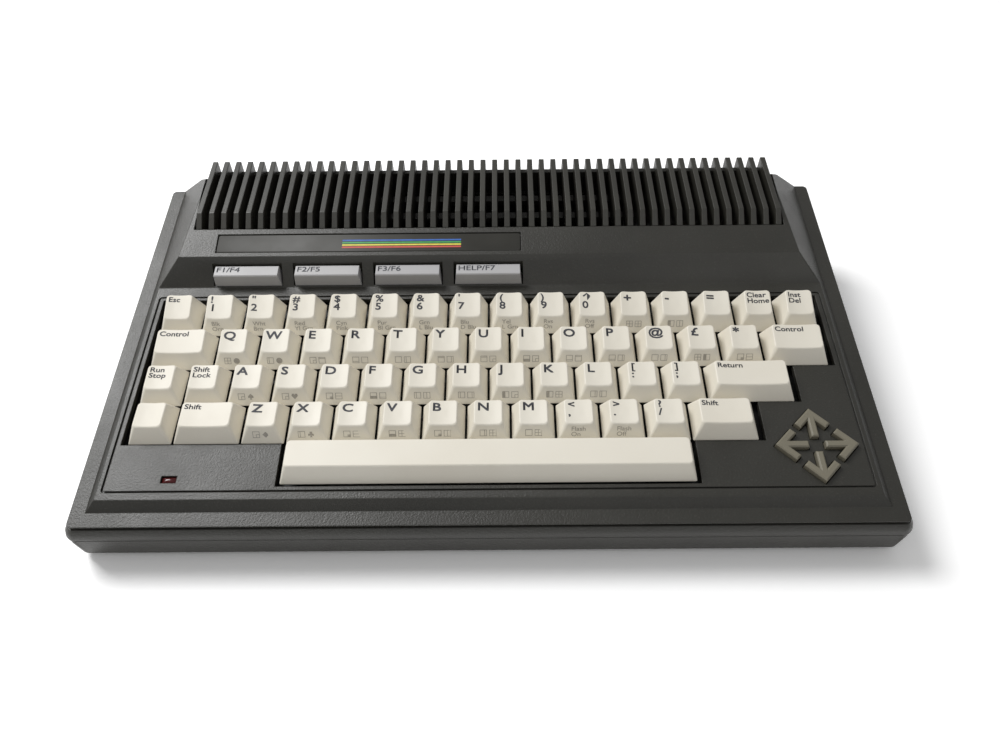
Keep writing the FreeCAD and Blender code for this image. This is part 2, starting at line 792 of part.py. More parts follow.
def cursor_stem(quarter):
    """Middle of a cursor key's stem beside the middle of the cross."""
    return QUARTER_TURNS[quarter]("0", "(cursor_reach * cursor_stem_share)")


def function_x(number):
    """Left end of a function key."""
    return f"(function_side_margin - key_block_half + {number} * function_pitch)"


def guide_places():
    """Middle of every stem in the deck frame, by which the plate gets its holes."""
    places = []
    for name, profile, width, x, y in key_places():
        places += [(f"({x} + {beside})", f"({y} + key_pitch / 2)") for beside in stem_places(width)]
    for quarter in range(len(CURSOR_KEYS)):
        x, y = cursor_stem(quarter)
        places.append((f"(cursor_x + {x})", f"(cursor_y + {y})"))
    places += [(f"({function_x(number)} + function_width / 2)", "(function_front_y + function_depth / 2)")
               for number in FUNCTION_KEYS]
    return places


def well_outline():
    """Stepped opening round the key block."""
    left, front = f"({unit_x('0')} - well_side_gap)", f"({row_y(0)} - well_front_gap)"
    space_left = f"({unit_x('space_start_share')} - well_side_gap / 2)"
    space_right = f"({unit_x('space_start_share + space_key_share')} + well_side_gap / 2)"
    points = [(space_left, front), (space_right, front), (space_right, row_y(1))]
    for row, profile in enumerate(("lower", "middle", "upper"), start=1):
        right = f"({unit_x(row_end(profile))} + well_side_gap)"
        points += [(right, row_y(row)), (right, "well_back_y" if profile == "upper" else row_y(row + 1))]
    return points + [(left, "well_back_y"), (left, row_y(1)), (space_left, row_y(1))]


def badge_outline(front, back, low, high):
    """Side outline of a strip that lies along the ridge's top plane."""
    return [(front, f"({deck_rise(front)} + {low})"), (back, f"({deck_rise(back)} + {low})"),
            (back, f"({deck_rise(back)} + {high})"), (front, f"({deck_rise(front)} + {high})")]


def boss_places():
    return [(side, f"(boss_front_y + {step} * boss_step)")
            for side in ("-boss_x", "boss_x") for step in range(3)]


def make_top_case():
    """Upper shell: brim, raised panel, ridge, openings, inner skirt and screw bosses."""
    half, rim = "half_brim", "(rim_thickness + shell_clearance)"
    brim = rounded_plate("brim_plate", f"-{half}", half, "0", "brim_depth", "corner_radius",
                         "-brim_edge", "brim_edge")
    inner_half, inner_back = f"({half} - {rim})", "(brim_depth - wall_thickness - shell_clearance)"
    slab = rounded_plate("brim_slab", f"-{inner_half}", inner_half, rim, inner_back, "corner_radius",
                         "-wall_thickness", "wall_thickness")
    ridge = make_ridge("ridge", [
        ("bezel_inset", "-brim_edge"), ("bezel_inset", "0"), ("panel_front_y", "panel_rise"),
        ("hump_foot_y", "panel_rise"), ("hump_edge_y", "hump_edge_rise"), ("crest_y", "crest_rise"),
        ("shoulder_y", "shoulder_rise"), ("brim_depth", "0"), ("brim_depth", "-brim_edge")],
        "ridge_half", "0")
    doc.recompute()
    edges = [f"Edge{number}" for number, edge in enumerate(ridge.Tip.Shape.Edges, start=1)
             if edge.BoundBox.ZMin > value("panel_rise / 2")]
    dress(ridge, "Fillet", "Radius", "form_radius", edges)
    cavity = make_ridge("ridge_cavity", [
        (CAVITY_FRONT, "-keel_drop"), (CAVITY_FRONT, PANEL_UNDER),
        ("hump_foot_y + wall_thickness", PANEL_UNDER),
        ("hump_edge_y + wall_thickness", "hump_edge_rise - wall_thickness"),
        ("crest_y - wall_thickness", "crest_rise - wall_thickness"),
        ("shoulder_y - wall_thickness", "shoulder_rise - wall_thickness"),
        (CAVITY_BACK, "vent_floor"), (CAVITY_BACK, "-keel_drop")], CAVITY_HALF, PANEL_UNDER)
    skirt_back = f"({rear_place('-wall_thickness - skirt_depth')} - wall_thickness - shell_clearance)"
    skirt = rounded_plate("skirt", f"-{inner_half}", inner_half, rim, skirt_back, "corner_radius",
                          "-wall_thickness - skirt_depth", "skirt_depth + wall_thickness / 2",
                          hole=(f"-{inner_half} + skirt_thickness", f"{inner_half} - skirt_thickness",
                                f"{rim} + skirt_thickness", f"{skirt_back} - skirt_thickness",
                                "(corner_radius / 2)"))
    bosses = [rod(f"boss_{index}", x, y, "-boss_drop", "boss_radius", "boss_drop - wall_thickness / 2")
              for index, (x, y) in enumerate(boss_places())]
    holes = [rod(f"boss_hole_{index}", x, y, "-boss_drop - cut_overrun", "boss_hole_radius",
                 "boss_drop + cut_overrun - wall_thickness") for index, (x, y) in enumerate(boss_places())]
    shell = cut("top_shell", fuse("top_outer", [brim, slab, ridge]), [cavity])
    tall = "(crest_rise + 2 * cut_overrun)"
    tools = [prism_up("key_well", well_outline(), "-cut_overrun", tall)]
    tools.append(block("vent_cut", "-vent_half_width", "vent_front_y", "vent_floor",
                       "2 * vent_half_width", "brim_depth + cut_overrun - vent_front_y", tall))
    back = "(badge_front_y + badge_depth)"
    recess = badge_outline("badge_front_y", back, "-badge_recess", "cut_overrun")
    tools.append(prism_along_x("badge_cut", recess, "badge_left_x", "badge_width"))
    tools.append(block("lamp_cut", "lamp_x - lamp_width / 2 - lamp_gap",
                       "lamp_y - lamp_depth / 2 - lamp_gap", "0",
                       "lamp_width + 2 * lamp_gap", "lamp_depth + 2 * lamp_gap", tall))
    for number in FUNCTION_KEYS:
        tools.append(block(f"function_cut_{number}", f"{function_x(number)} - function_gap",
                           "function_front_y - function_gap", "0", "function_width + 2 * function_gap",
                           "function_depth + 2 * function_gap", tall))
    for quarter, name in enumerate(CURSOR_KEYS):
        points = [(f"cursor_x + {x}", f"cursor_y + {y}") for x, y in arrow_outline("cursor_gap", quarter)]
        tools.append(prism_up(f"{name}_cut", points, "-cut_overrun", tall))
    ring_half = "(ridge_half - panel_rise - groove_side_inset)"
    tools.append(rounded_plate("groove", f"-{ring_half}", ring_half, "groove_front_y", "groove_back_y",
                               "groove_radius", "panel_rise - groove_depth", "groove_depth + cut_overrun",
                               hole=(f"-{ring_half} + groove_width", f"{ring_half} - groove_width",
                                     "border_front_y", "groove_back_y - groove_width",
                                     "(groove_radius - groove_width)")))
    opened = cut("top_opened", shell, tools)
    case = cut("top_case_shape", fuse("top_with_bosses", [opened, skirt] + bosses), holes)
    return finish("top_case", place(case))


def make_vent_grille():
    """Forty-eight tapered fins on a front rail, cross bars and a rear wall."""
    body = new_body("fin_taper")
    low, high, top = "(fin_root_width / 2)", "(fin_top_width / 2)", "(fin_bend_rise + cut_overrun)"
    taper = [(f"-{low}", "0"), (low, "0"), (high, top), (f"-{high}", top)]
    add_pad(body, draw_outline(new_sketch(body, "XZ_Plane"), taper), "2 * (fin_tip_y + cut_overrun)",
            symmetric=True)
    side = prism_along_x("fin_side", [
        ("vent_front_y + fin_gap", "fin_root_rise"), ("vent_front_y + fin_gap", deck_rise("vent_front_y")),
        ("fin_bend_y", "fin_bend_rise"), ("fin_tip_y", "fin_tip_rise"),
        ("fin_heel_y", "fin_root_rise")], "-fin_root_width", "2 * fin_root_width")
    fin = common("fin", [body, side])
    fins = []
    for number in range(SIZES["fin_count"]):
        fins.append(group(f"fin_{number}", [fin]))
        fins[-1].setExpression("Placement.Base.x", bound(f"({number} - (fin_count - 1) / 2) * fin_pitch"))
    wide, left = "(2 * vent_half_width - 2 * fin_gap)", "(-vent_half_width + fin_gap)"
    rail = prism_along_x("front_rail", [
        ("vent_front_y + fin_gap", f"{deck_rise('vent_front_y')} - badge_recess"),
        ("rail_foot_y", f"{deck_rise('vent_front_y')} - rail_drop"),
        ("rail_foot_y", f"{deck_rise('vent_front_y')} - rail_drop - rail_thickness"),
        ("vent_front_y + fin_gap", f"{deck_rise('vent_front_y')} - rail_drop - rail_thickness")], left, wide)
    bars = [block(f"cross_bar_{number}", left, f"cross_bar_first_y + {number} * cross_bar_step",
                  "fin_root_rise - cross_bar_height / 2", wide, "cross_bar_width", "cross_bar_height")
            for number in range(2)]
    wall = block("grille_wall", left, "grille_wall_y", "vent_floor", wide, "grille_wall",
                 "grille_wall_top - vent_floor")
    ends = [block(f"grille_end_{number}", x, "vent_front_y + fin_gap", "vent_floor", "grille_end_width",
                  "grille_wall_y - vent_front_y", "fin_root_rise + cross_bar_height - vent_floor")
            for number, x in enumerate((left, "(vent_half_width - fin_gap - grille_end_width)"))]
    return finish("vent_grille", place(fuse("grille_shape", [rail, wall] + bars + ends + fins)))


def make_badge_strip():
    front, back = "(badge_front_y + badge_gap)", "(badge_front_y + badge_depth - badge_gap)"
    outline = badge_outline(front, back, "-badge_recess", "(badge_thickness - badge_recess)")
    strip = prism_along_x("badge", outline, "badge_left_x + badge_gap", "badge_width - 2 * badge_gap")
    return finish("badge_strip", place(strip))


def make_bottom_case():
    """Lower shell: rounded lip, waist, tapered sides, level base, rear wall with socket openings."""
    body = new_body("lower_outside")
    levels = [(RIM_DROP, "lip_flare"), ("band_drop", "band_flare"), ("bulge_drop", "bulge_flare"),
              ("waist_drop", "waist_flare"), ("hem_drop", "hem_flare"), ("keel_drop", "keel_flare")]
    sections = []
    for drop, flare in levels:
        half = f"(half_brim + {flare})"
        sections.append(draw_rounded(new_sketch(body, "XY_Plane", f"-{drop}"), f"-{half}", half, f"-{flare}",
                                     "(brim_depth + 2 * cut_overrun)", f"(corner_radius + {flare})"))
    add_loft(body, sections)
    low_back = deck_point("rear_wall", "foot_drop")
    span, left = "(2 * half_brim + 4 * cut_overrun)", "(-half_brim - 2 * cut_overrun)"
    side = prism_along_x("lower_side", [
        ("-cut_overrun", base_rise("-cut_overrun")), low_back,
        (rear_place("cut_overrun"), "cut_overrun"), ("-cut_overrun", "cut_overrun")], left, span)
    inner_back = deck_point("(rear_wall - wall_thickness)", FLOOR_TOP)
    inner_side = prism_along_x("lower_inner_side", [
        ("-cut_overrun", base_rise("-cut_overrun", FLOOR_TOP)), inner_back,
        (f"{rear_place('cut_overrun')} - wall_thickness / cos(tilt_angle)", "cut_overrun"),
        ("-cut_overrun", "cut_overrun")], left, span)
    neck_half, behind = "(half_brim - rim_thickness)", "(brim_depth + cut_overrun)"
    neck = rounded_plate("lower_neck", f"-{neck_half}", neck_half, "rim_thickness", behind,
                         "corner_radius", "-keel_drop", "keel_drop + cut_overrun")
    deep = rounded_plate("lower_deep", f"-{SIDE_WALL}", SIDE_WALL, "-shell_clearance", behind,
                         "corner_radius", "-keel_drop", "keel_drop - rim_depth")
    shell = cut("lower_shell", common("lower_solid", [body, side]),
                [common("lower_cavity", [fuse("lower_hollow", [neck, deep]), inner_side])])
    posts = group("pillar_rods", [
        rod(f"pillar_{index}", x, y, "-keel_drop", "boss_radius", "keel_drop - boss_drop")
        for index, (x, y) in enumerate(boss_places())])
    pillars = common("pillars", [posts, doc.copyObject(side, True)])
    holes = []
    for index, (x, y) in enumerate(boss_places()):
        holes.append(rod(f"pillar_hole_{index}", x, y, "-keel_drop", "pillar_hole_radius", "keel_drop"))
        holes.append(rod(f"screw_recess_{index}", x, y, "-keel_drop", "screw_recess_radius",
                         f"keel_drop + {base_rise(y)} + screw_sink"))
    shell = place(cut("lower_with_pillars", fuse("lower_posts", [shell, pillars]), holes))
    peg_places = [(x, y) for x in ("-board_peg_x", "0", "board_peg_x")
                  for y in ("board_front_y + board_peg_margin", "board_back - board_peg_margin")]
    pegs = [rod(f"board_peg_{number}", x, y, "foot_drop + wall_thickness / 2", "board_peg_radius",
                "wall_thickness / 2 + board_lift") for number, (x, y) in enumerate(peg_places)]
    tools = rear_openings() + side_openings()
    slot_first = "(-(base_slot_count - 1) * base_slot_pitch / 2 - base_slot_width / 2)"
    for number in range(int(SIZES["base_slot_count"])):
        tools.append(block(f"base_slot_{number}", f"{slot_first} + {number} * base_slot_pitch",
                           "base_slot_y", "foot_drop - cut_overrun", "base_slot_width",
                           "base_slot_length", "wall_thickness + 2 * cut_overrun"))
    for number, (x, y) in enumerate(foot_places()):
        tools.append(rod(f"foot_recess_{number}", x, y, "foot_drop - cut_overrun", "foot_radius",
                         "cut_overrun + foot_sink"))
    upright = place(group("board_pegs", pegs), frame="table")
    openings = place(group("lower_openings", tools), frame="table")
    return finish("bottom_case", cut("bottom_case_shape", fuse("lower_built", [shell, upright]), [openings]))


ROUND_SOCKETS = {
    "din": ("power", "serial", "video"),
    "mini_din": ("cassette", "first_joystick", "second_joystick"),
}


def rear_x(name):
    """Middle of a rear socket along the rear wall."""
    return f"({name}_share * board_half_width)"


def rear_openings():
    """Holes in the rear wall for every socket behind it."""
    start, reach = "(rear_wall - 2 * wall_thickness)", "(4 * wall_thickness)"
    tools = []
    for kind, names in ROUND_SOCKETS.items():
        for name in names:
            tools.append(rod(f"{name}_hole", rear_x(name), start, f"{BOARD_TOP} + {kind}_lift",
                             f"{kind}_radius + {kind}_wall + socket_gap", reach, BACKWARDS))
    tools.append(rod("jack_hole", rear_x("modulator"), start, f"{BOARD_TOP} + jack_lift",
                     "jack_radius + socket_gap", reach, BACKWARDS))
    tools.append(block("edge_mouth", f"{rear_x('edge_slot')} - edge_slot_width / 2", start,
                       f"{BOARD_TOP} - circuit_thickness / 2 - edge_slot_height / 2",
                       "edge_slot_width", reach, "edge_slot_height"))
    tools.append(block("expansion_mouth", f"{rear_x('expansion')} - expansion_width / 2 - socket_gap",
                       start, BOARD_TOP, "expansion_width + 2 * socket_gap", reach,
                       "expansion_height + socket_gap"))
    return tools


def side_openings():
    """Holes in the right wall for the rocker and the reset button."""
    start, reach = f"({SIDE_WALL} - wall_thickness)", "(4 * wall_thickness)"
    rocker = block("rocker_mouth", start, "switch_y - switch_length / 2 + switch_wall",
                   "switch_lift - switch_height / 2 + switch_wall", reach, "switch_length - 2 * switch_wall",
                   "switch_height - 2 * switch_wall")
    reset = rod("reset_mouth", start, "reset_y", "switch_lift", "reset_radius + reset_gap", reach, (1, 0, 0))
    return [rocker, reset]


def foot_places():
    return [(x, y) for x in ("-foot_side_x", "foot_side_x") for y in ("foot_front_y", "foot_back_y")]


def make_feet():
    """Four round rubber feet with a slight taper, seated in the base."""
    feet = []
    for number, (x, y) in enumerate(foot_places()):
        foot = doc.addObject("Part::Cone", f"foot_{number}")
        foot.setExpression("Placement.Base.x", bound(x))
        foot.setExpression("Placement.Base.y", bound(y))
        foot.setExpression("Radius1", bound("foot_radius - foot_sink - shell_clearance"))
        foot.setExpression("Radius2", bound("foot_radius - shell_clearance"))
        foot.setExpression("Height", bound("foot_drop + foot_sink"))
        feet.append(foot)
    return finish("rubber_feet", place(group("feet", feet), frame="table"))


def make_screws():
    """Six case screws from under the base into the bosses of the upper shell."""
    screws = []
    for number, (x, y) in enumerate(boss_places()):
        seat = f"({base_rise(y)} + screw_sink)"
        head = rod(f"screw_head_{number}", x, y, f"{seat} - screw_head_height", "screw_head_radius",
                   "screw_head_height")
        shank = rod(f"screw_shank_{number}", x, y, seat, "screw_radius",
                    f"-boss_drop + screw_reach - {seat}")
        screws.append(fuse(f"screw_{number}", [head, shank]))
    return finish("case_screws", place(group("screws", screws)))


def make_key_plate():
    """Moulded plate under the keys, with a guide hole for every stem and a rim up to the panel."""
    plate = block("plate", f"-{PLATE_HALF}", PLATE_FRONT, PLATE_UNDER, f"2 * {PLATE_HALF}",
                  f"plate_back_y - {PLATE_FRONT}", "plate_thickness")
    rim = frame_ring("plate_rim", PLATE_HALF, PLATE_FRONT, "plate_rim_back_y",
                     "-plate_top_drop - plate_thickness / 2",
                     f"{PANEL_UNDER} + plate_top_drop + plate_thickness / 2", "plate_rim")
    skirt = frame_ring("plate_skirt", PLATE_HALF, PLATE_FRONT, "plate_back_y", CIRCUIT_TOP,
                       "plate_skirt + plate_thickness / 2", "plate_rim")
    hole = "(stem_width + 2 * stem_clearance)"
    holes = [block(f"guide_{number}", f"{x} - {hole} / 2", f"{y} - {hole} / 2",
                   f"{PLATE_UNDER} - cut_overrun / 2", hole, hole,
                   "plate_thickness + cut_overrun / 2 + plate_top_drop / 2")
             for number, (x, y) in enumerate(guide_places())]
    body = cut("key_plate_shape", fuse("plate_blank", [plate, rim, skirt]), [group("guide_holes", holes)])
    return finish("key_plate", place(body))


def make_keyboard_board():
    board = block("keyboard_circuit", f"-{PLATE_HALF}", PLATE_FRONT, f"{CIRCUIT_TOP} - circuit_thickness",
                  f"2 * {PLATE_HALF}", f"plate_back_y - {PLATE_FRONT}", "circuit_thickness")
    return finish("keyboard_board", place(group("keyboard_circuit_set", [board])))


def make_keyboard_cable():
    """Ribbon from the underside of the keyboard's circuit down to a header on the main board."""
    under = f"({CIRCUIT_TOP} - circuit_thickness)"
    top_near = table_point("plate_rim_back_y", under)
    top_far = table_point("(plate_rim_back_y + cable_thickness)", under)
    foot, low = "(header_front_y + cable_header / 2)", f"({BOARD_TOP} + cable_header)"
    bow_y, bow_z = f"(({foot} + {top_near[0]} + cable_header) / 2)", f"(({low} + {top_near[1]}) / 2)"
    ribbon = prism_along_x("ribbon", [
        (foot, low), (f"{foot} + cable_thickness", low), (f"{bow_y} + cable_thickness", bow_z),
        top_far, top_near, (f"{bow_y} - cable_thickness / 4", bow_z)],
        "cable_x - cable_width / 2", "cable_width")
    header = block("ribbon_header", "cable_x - cable_width / 2 - cable_thickness", "header_front_y",
                   BOARD_TOP, "cable_width + 2 * cable_thickness", "cable_header + cable_thickness",
                   "cable_header")
    return finish("keyboard_cable", place(fuse("cable_shape", [ribbon, header]), frame="table"))


def make_main_board():
    """Main circuit board with a tongue that reaches out as the edge connector."""
    middle = rear_x("edge_slot")
    left, right = f"({middle} - edge_tongue_width / 2)", f"({middle} + edge_tongue_width / 2)"
    mouth_left, mouth_right = f"({middle} - edge_slot_width / 2)", f"({middle} + edge_slot_width / 2)"
    tip, root = "(rear_wall - wall_thickness / 2)", "(board_back - edge_notch)"
    board = prism_up("board", [
        ("-board_half_width", "board_front_y"), ("board_half_width", "board_front_y"),
        ("board_half_width", "board_back"), (mouth_right, "board_back"), (mouth_right, root),
        (right, root), (right, tip), (left, tip), (left, root),
        (mouth_left, root), (mouth_left, "board_back"), ("-board_half_width", "board_back")],
        BOARD_UNDER, "circuit_thickness")
    return finish("main_board", place(board, frame="table"))


def make_board_chips():
    """Two rows of chips on the main board, long ones in front."""
    chips = []
    for row, (size, count) in enumerate((("large", 5), ("small", 9))):
        width = "chip_width" if size == "large" else "small_chip_width"
        for column in range(count):
            x = f"({column} - ({count} - 1) / 2) * {size}_chip_step - {size}_chip_length / 2"
            chips.append(block(f"{size}_chip_{column}", x, f"chip_row_y + {row} * chip_row_step", BOARD_TOP,
                               f"{size}_chip_length", width, "chip_height"))
    return finish("board_chips", place(group("chips", chips), frame="table"))


def round_socket(kind, name):
    """Block on the board with a round nose that fills its hole and a round recess for a plug."""
    x, size, lift = rear_x(name), f"{kind}_body", f"({BOARD_TOP} + {kind}_lift)"
    body = block(f"{name}_block", f"{x} - {size} / 2", f"{SOCKET_FACE} - {kind}_length", BOARD_TOP,
                 size, f"{kind}_length", size)
    nose = rod(f"{name}_nose", x, f"{SOCKET_FACE} - {kind}_wall", lift, f"{kind}_radius + {kind}_wall",
               f"wall_thickness + socket_gap - socket_sink + {kind}_wall", BACKWARDS)
    recess = rod(f"{name}_recess", x, f"rear_wall - socket_sink - {kind}_depth", lift, f"{kind}_radius",
                 f"{kind}_depth + cut_overrun", BACKWARDS)
    return cut(f"{name}_socket", fuse(f"{name}_solid", [body, nose]), [recess])


def make_round_sockets(kind):
    sockets = [round_socket(kind, name) for name in ROUND_SOCKETS[kind]]
    return finish(f"{kind}_sockets", place(group(f"{kind}_set", sockets), frame="table"))


def make_expansion_socket():
    """Edge socket in the rear wall with one long slot."""
    left, front = f"({rear_x('expansion')} - expansion_width / 2)", "(rear_wall - socket_sink)"
    body = block("expansion_body", left, f"{front} - expansion_body_depth", BOARD_TOP, "expansion_width",
                 "expansion_body_depth", "expansion_height")
    slot = block("expansion_slot", f"{left} + expansion_wall", f"{front} - expansion_slot_depth",
                 f"{BOARD_TOP} + expansion_lip", "expansion_width - 2 * expansion_wall",
                 "expansion_slot_depth + cut_overrun", "expansion_height - 2 * expansion_lip")
    return finish("expansion_socket", place(cut("expansion_shape", body, [slot]), frame="table"))


def make_modulator():
    """Tin box on the board with a coaxial jack through the rear wall."""
    x, lift = rear_x("modulator"), f"({BOARD_TOP} + jack_lift)"
    box = block("modulator_box", f"{x} - modulator_width / 2", f"{SOCKET_FACE} - modulator_depth", BOARD_TOP,
                "modulator_width", "modulator_depth", "modulator_height")
    barrel = rod("jack_barrel", x, f"{SOCKET_FACE} - jack_bore", lift, "jack_radius",
                 "wall_thickness + socket_gap - socket_sink + jack_bore", BACKWARDS)
    bore = rod("jack_bore_cut", x, SOCKET_FACE, lift, "jack_bore", "wall_thickness + cut_overrun", BACKWARDS)
    shape = cut("modulator_shape", fuse("modulator_solid", [box, barrel]), [bore])
    return finish("rf_modulator", place(shape, frame="table"))


def make_switch_housings():
    """Frames behind the right wall that carry the rocker on its pin and guide the reset button."""
    x = f"({SIDE_WALL} - switch_depth)"
    low_y, low_z = "(switch_y - switch_length / 2)", "(switch_lift - switch_height / 2)"
    frame = block("switch_frame", x, low_y, low_z, "switch_depth", "switch_length",
                  "switch_height")
    room = block("switch_room", f"{x} + switch_wall", f"{low_y} + switch_wall", f"{low_z} + switch_wall",
                 "switch_depth + cut_overrun", "switch_length - 2 * switch_wall",
                 "switch_height - 2 * switch_wall")
    pin = rod("switch_pin_hole", f"{SIDE_WALL} - rocker_pin_inset", "switch_y", f"{low_z} - cut_overrun",
              "rocker_pin_radius + switch_gap / 2", "switch_height + 2 * cut_overrun")
    guide = block("reset_frame", f"{SIDE_WALL} - reset_back - reset_wall",
                  "reset_y - reset_housing / 2", "switch_lift - reset_housing / 2",
                  "reset_back + reset_wall", "reset_housing", "reset_housing")
    bore = rod("reset_bore", f"{SIDE_WALL} - reset_back", "reset_y", "switch_lift",
               "reset_radius + reset_gap", "reset_back + cut_overrun", (1, 0, 0))
    pieces = [cut("switch_box", frame, [room, pin]), cut("reset_box", guide, [bore])]
    return finish("switch_housings", place(group("housings", pieces), frame="table"))


def make_rocker():
    """Rocker with a hollow-ground face on a vertical pin, modelled at its off end."""
    long = "(switch_length / 2 - switch_wall - rocker_end_gap)"
    middle = "(rocker_pin_inset + rocker_reach)"
    end = f"({middle} + {long} * tan(rocker_angle / 2))"
    height = "(switch_height - 2 * switch_wall - 2 * switch_gap)"
    face = prism_up("rocker_face", [
        ("-rocker_back", f"(-{long} / 2)"), (end, f"(-{long})"), (middle, "0"), (end, long),
        ("-rocker_back", f"({long} / 2)")], f"(-{height} / 2)", height)
    pin = rod("rocker_pin", "0", "0", "-switch_height / 2 + switch_wall / 4", "rocker_pin_radius",
              "switch_height - switch_wall / 2")
    rocker = fuse("rocker_shape", [face, pin])
    rocker.Placement = Placement(Vector(0, 0, 0), Rotation(Vector(0, 0, 1), -value("rocker_angle / 2")))
    rocker.setExpression("Placement.Rotation.Angle", bound("-rocker_angle / 2"))
    rocker.setExpression("Placement.Base.x", bound(f"{SIDE_WALL} - rocker_pin_inset"))
    rocker.setExpression("Placement.Base.y", bound("switch_y - origin_back"))
    rocker.setExpression("Placement.Base.z", bound("switch_lift"))
    return finish("power_switch", rocker)


def make_reset_button():
    button = rod("reset_rod", f"{SIDE_WALL} + reset_proud - reset_length", "reset_y", "switch_lift",
                 "reset_radius", "reset_length", (1, 0, 0))
    return finish("reset_button", place(group("reset_set", [button]), frame="table"))


def make_lamp():
    """Red lens that stands on the key plate and ends just under the panel."""
    lens = block("lens", "lamp_x - lamp_width / 2", "lamp_y - lamp_depth / 2", "-plate_top_drop",
                 "lamp_width", "lamp_depth", "panel_rise + plate_top_drop - lamp_sink")
    return finish("power_lamp", place(group("lamp_set", [lens])))


def make_keys():
    """Every keycap, from one master for each row and width."""
    masters, shared = {}, []
    for name, profile, width, x, y in key_places():
        if (profile, width) not in masters:
            masters[profile, width] = make_cap(profile, width)
        key = place(group(f"{name}_cap", [masters[profile, width]]), x, y, "key_base_rise")
        if name.startswith("shared"):
            shared.append(key)
        else:
            finish(name, key)
    finish("number_and_symbol_keys", group("shared_keys", shared))


def make_function_keys():
    """Long function keys that stand through the slope, with raked ends and a guide stem."""
    middle, back = "(function_front_y + function_depth / 2)", "(function_front_y + function_depth)"
    for number in FUNCTION_KEYS:
        left, right = function_x(number), f"({function_x(number)} + function_width)"
        side = prism_along_x(f"function_side_{number}", [
            ("function_front_y", "function_bottom"), ("function_front_y", "function_top - function_bevel"),
            ("function_front_y + function_bevel", "function_top"),
            (f"{back} - function_bevel", "function_top"),
            (back, "function_top - function_bevel"), (back, "function_bottom")], left, "function_width")
        ends = new_body(f"function_ends_{number}")
        outline = draw_outline(new_sketch(ends, "XZ_Plane"), [
            (left, "function_bottom"), (right, "function_bottom"),
            (f"{right} - function_taper", "function_top"), (f"{left} + function_taper", "function_top")])
        add_pad(ends, outline, f"2 * {back}", symmetric=True)
        stem = block(f"function_stem_{number}", f"{left} + function_width / 2 - stem_width / 2",
                     f"{middle} - stem_width / 2", "key_base_rise - stem_drop", "stem_width", "stem_width",
                     "stem_drop - key_base_rise + function_bottom + cap_wall")
        cap = common(f"function_cap_{number}", [side, ends])
        finish(f"function_key_{number + 1}", place(fuse(f"function_shape_{number}", [cap, stem])))


def make_cursor_keys():
    """Four arrows that point away from each other, with bevelled rims and a guide stem each."""
    for quarter, name in enumerate(CURSOR_KEYS):
        arrow = prism_up(f"{name}_arrow", arrow_outline("0", quarter), "cursor_bottom",
                         "cursor_top - cursor_bottom")
        doc.recompute()
        faces = arrow.Tip.Shape.Faces
        top = max(range(len(faces)), key=lambda index: faces[index].CenterOfMass.z)
        dress(arrow, "Chamfer", "Size", "cursor_chamfer", [f"Face{top + 1}"])
        x, y = cursor_stem(quarter)
        stem = block(f"{name}_stem", f"{x} - stem_width / 2", f"{y} - stem_width / 2",
                     "key_base_rise - stem_drop", "stem_width", "stem_width",
                     "stem_drop - key_base_rise + cursor_bottom")
        finish(name, place(fuse(f"{name}_shape", [arrow, stem]), "cursor_x", "cursor_y"))


def check_model():
    """Stop if any feature failed or any sub-part is empty or broken."""
    for item in doc.Objects:
        for state in item.State:
            if state in ("Invalid", "Error"):
                raise RuntimeError(f"{item.Name} is {state}")
    for name, item in parts.items():
        if item.Shape.isNull() or not item.Shape.isValid() or not item.Shape.Solids:
            raise RuntimeError(f"{name} has no sound shape")


def write_parts():
    """Write each sub-part to its file and print its volume and box."""
    os.makedirs("parts", exist_ok=True)
    for name, item in parts.items():
        item.Shape.exportStep(f"parts/{name}.step")
        box = item.Shape.BoundBox
        print(f"{name:24s} solids {len(item.Shape.Solids):3d} volume {item.Shape.Volume:10.1f}"
              f" x {box.XMin:7.1f} {box.XMax:7.1f} y {box.YMin:7.1f} {box.YMax:7.1f}"
              f" z {box.ZMin:6.1f} {box.ZMax:6.1f}")


make_top_case()
make_vent_grille()
make_badge_strip()
make_bottom_case()
make_feet()
make_screws()
make_key_plate()
make_keyboard_board()
make_keyboard_cable()
make_main_board()
make_board_chips()
for socket_kind in ROUND_SOCKETS:
    make_round_sockets(socket_kind)
make_expansion_socket()
make_modulator()
make_switch_housings()
make_rocker()
make_reset_button()
make_lamp()
make_keys()
make_function_keys()
make_cursor_keys()
doc.recompute()
check_model()
write_parts()
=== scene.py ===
import json
import math

import bmesh
import bpy
from mathutils import Matrix, Vector
from mathutils.bvhtree import BVHTree


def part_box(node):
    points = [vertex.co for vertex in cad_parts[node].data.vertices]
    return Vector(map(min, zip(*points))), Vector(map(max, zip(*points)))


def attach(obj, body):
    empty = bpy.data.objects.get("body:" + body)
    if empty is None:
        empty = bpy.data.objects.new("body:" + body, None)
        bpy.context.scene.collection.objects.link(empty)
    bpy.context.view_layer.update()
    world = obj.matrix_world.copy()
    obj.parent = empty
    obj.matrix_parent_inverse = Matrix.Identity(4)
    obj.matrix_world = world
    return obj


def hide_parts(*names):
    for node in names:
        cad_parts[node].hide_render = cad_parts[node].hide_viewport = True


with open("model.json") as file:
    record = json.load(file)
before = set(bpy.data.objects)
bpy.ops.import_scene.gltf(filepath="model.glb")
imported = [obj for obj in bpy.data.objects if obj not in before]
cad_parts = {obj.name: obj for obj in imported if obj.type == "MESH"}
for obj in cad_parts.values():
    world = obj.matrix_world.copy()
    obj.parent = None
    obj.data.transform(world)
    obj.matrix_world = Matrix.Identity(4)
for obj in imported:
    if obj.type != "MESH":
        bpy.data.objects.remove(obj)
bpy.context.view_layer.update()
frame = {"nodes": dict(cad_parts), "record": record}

# Sizes in millimetres. The deck frame lies in the plane of the case's brim: x to the right, y from the
# brim's front edge to the back, z out of it. The level frame is the part's own, in metres.
MM = 0.001
TILT = math.radians(7.5)
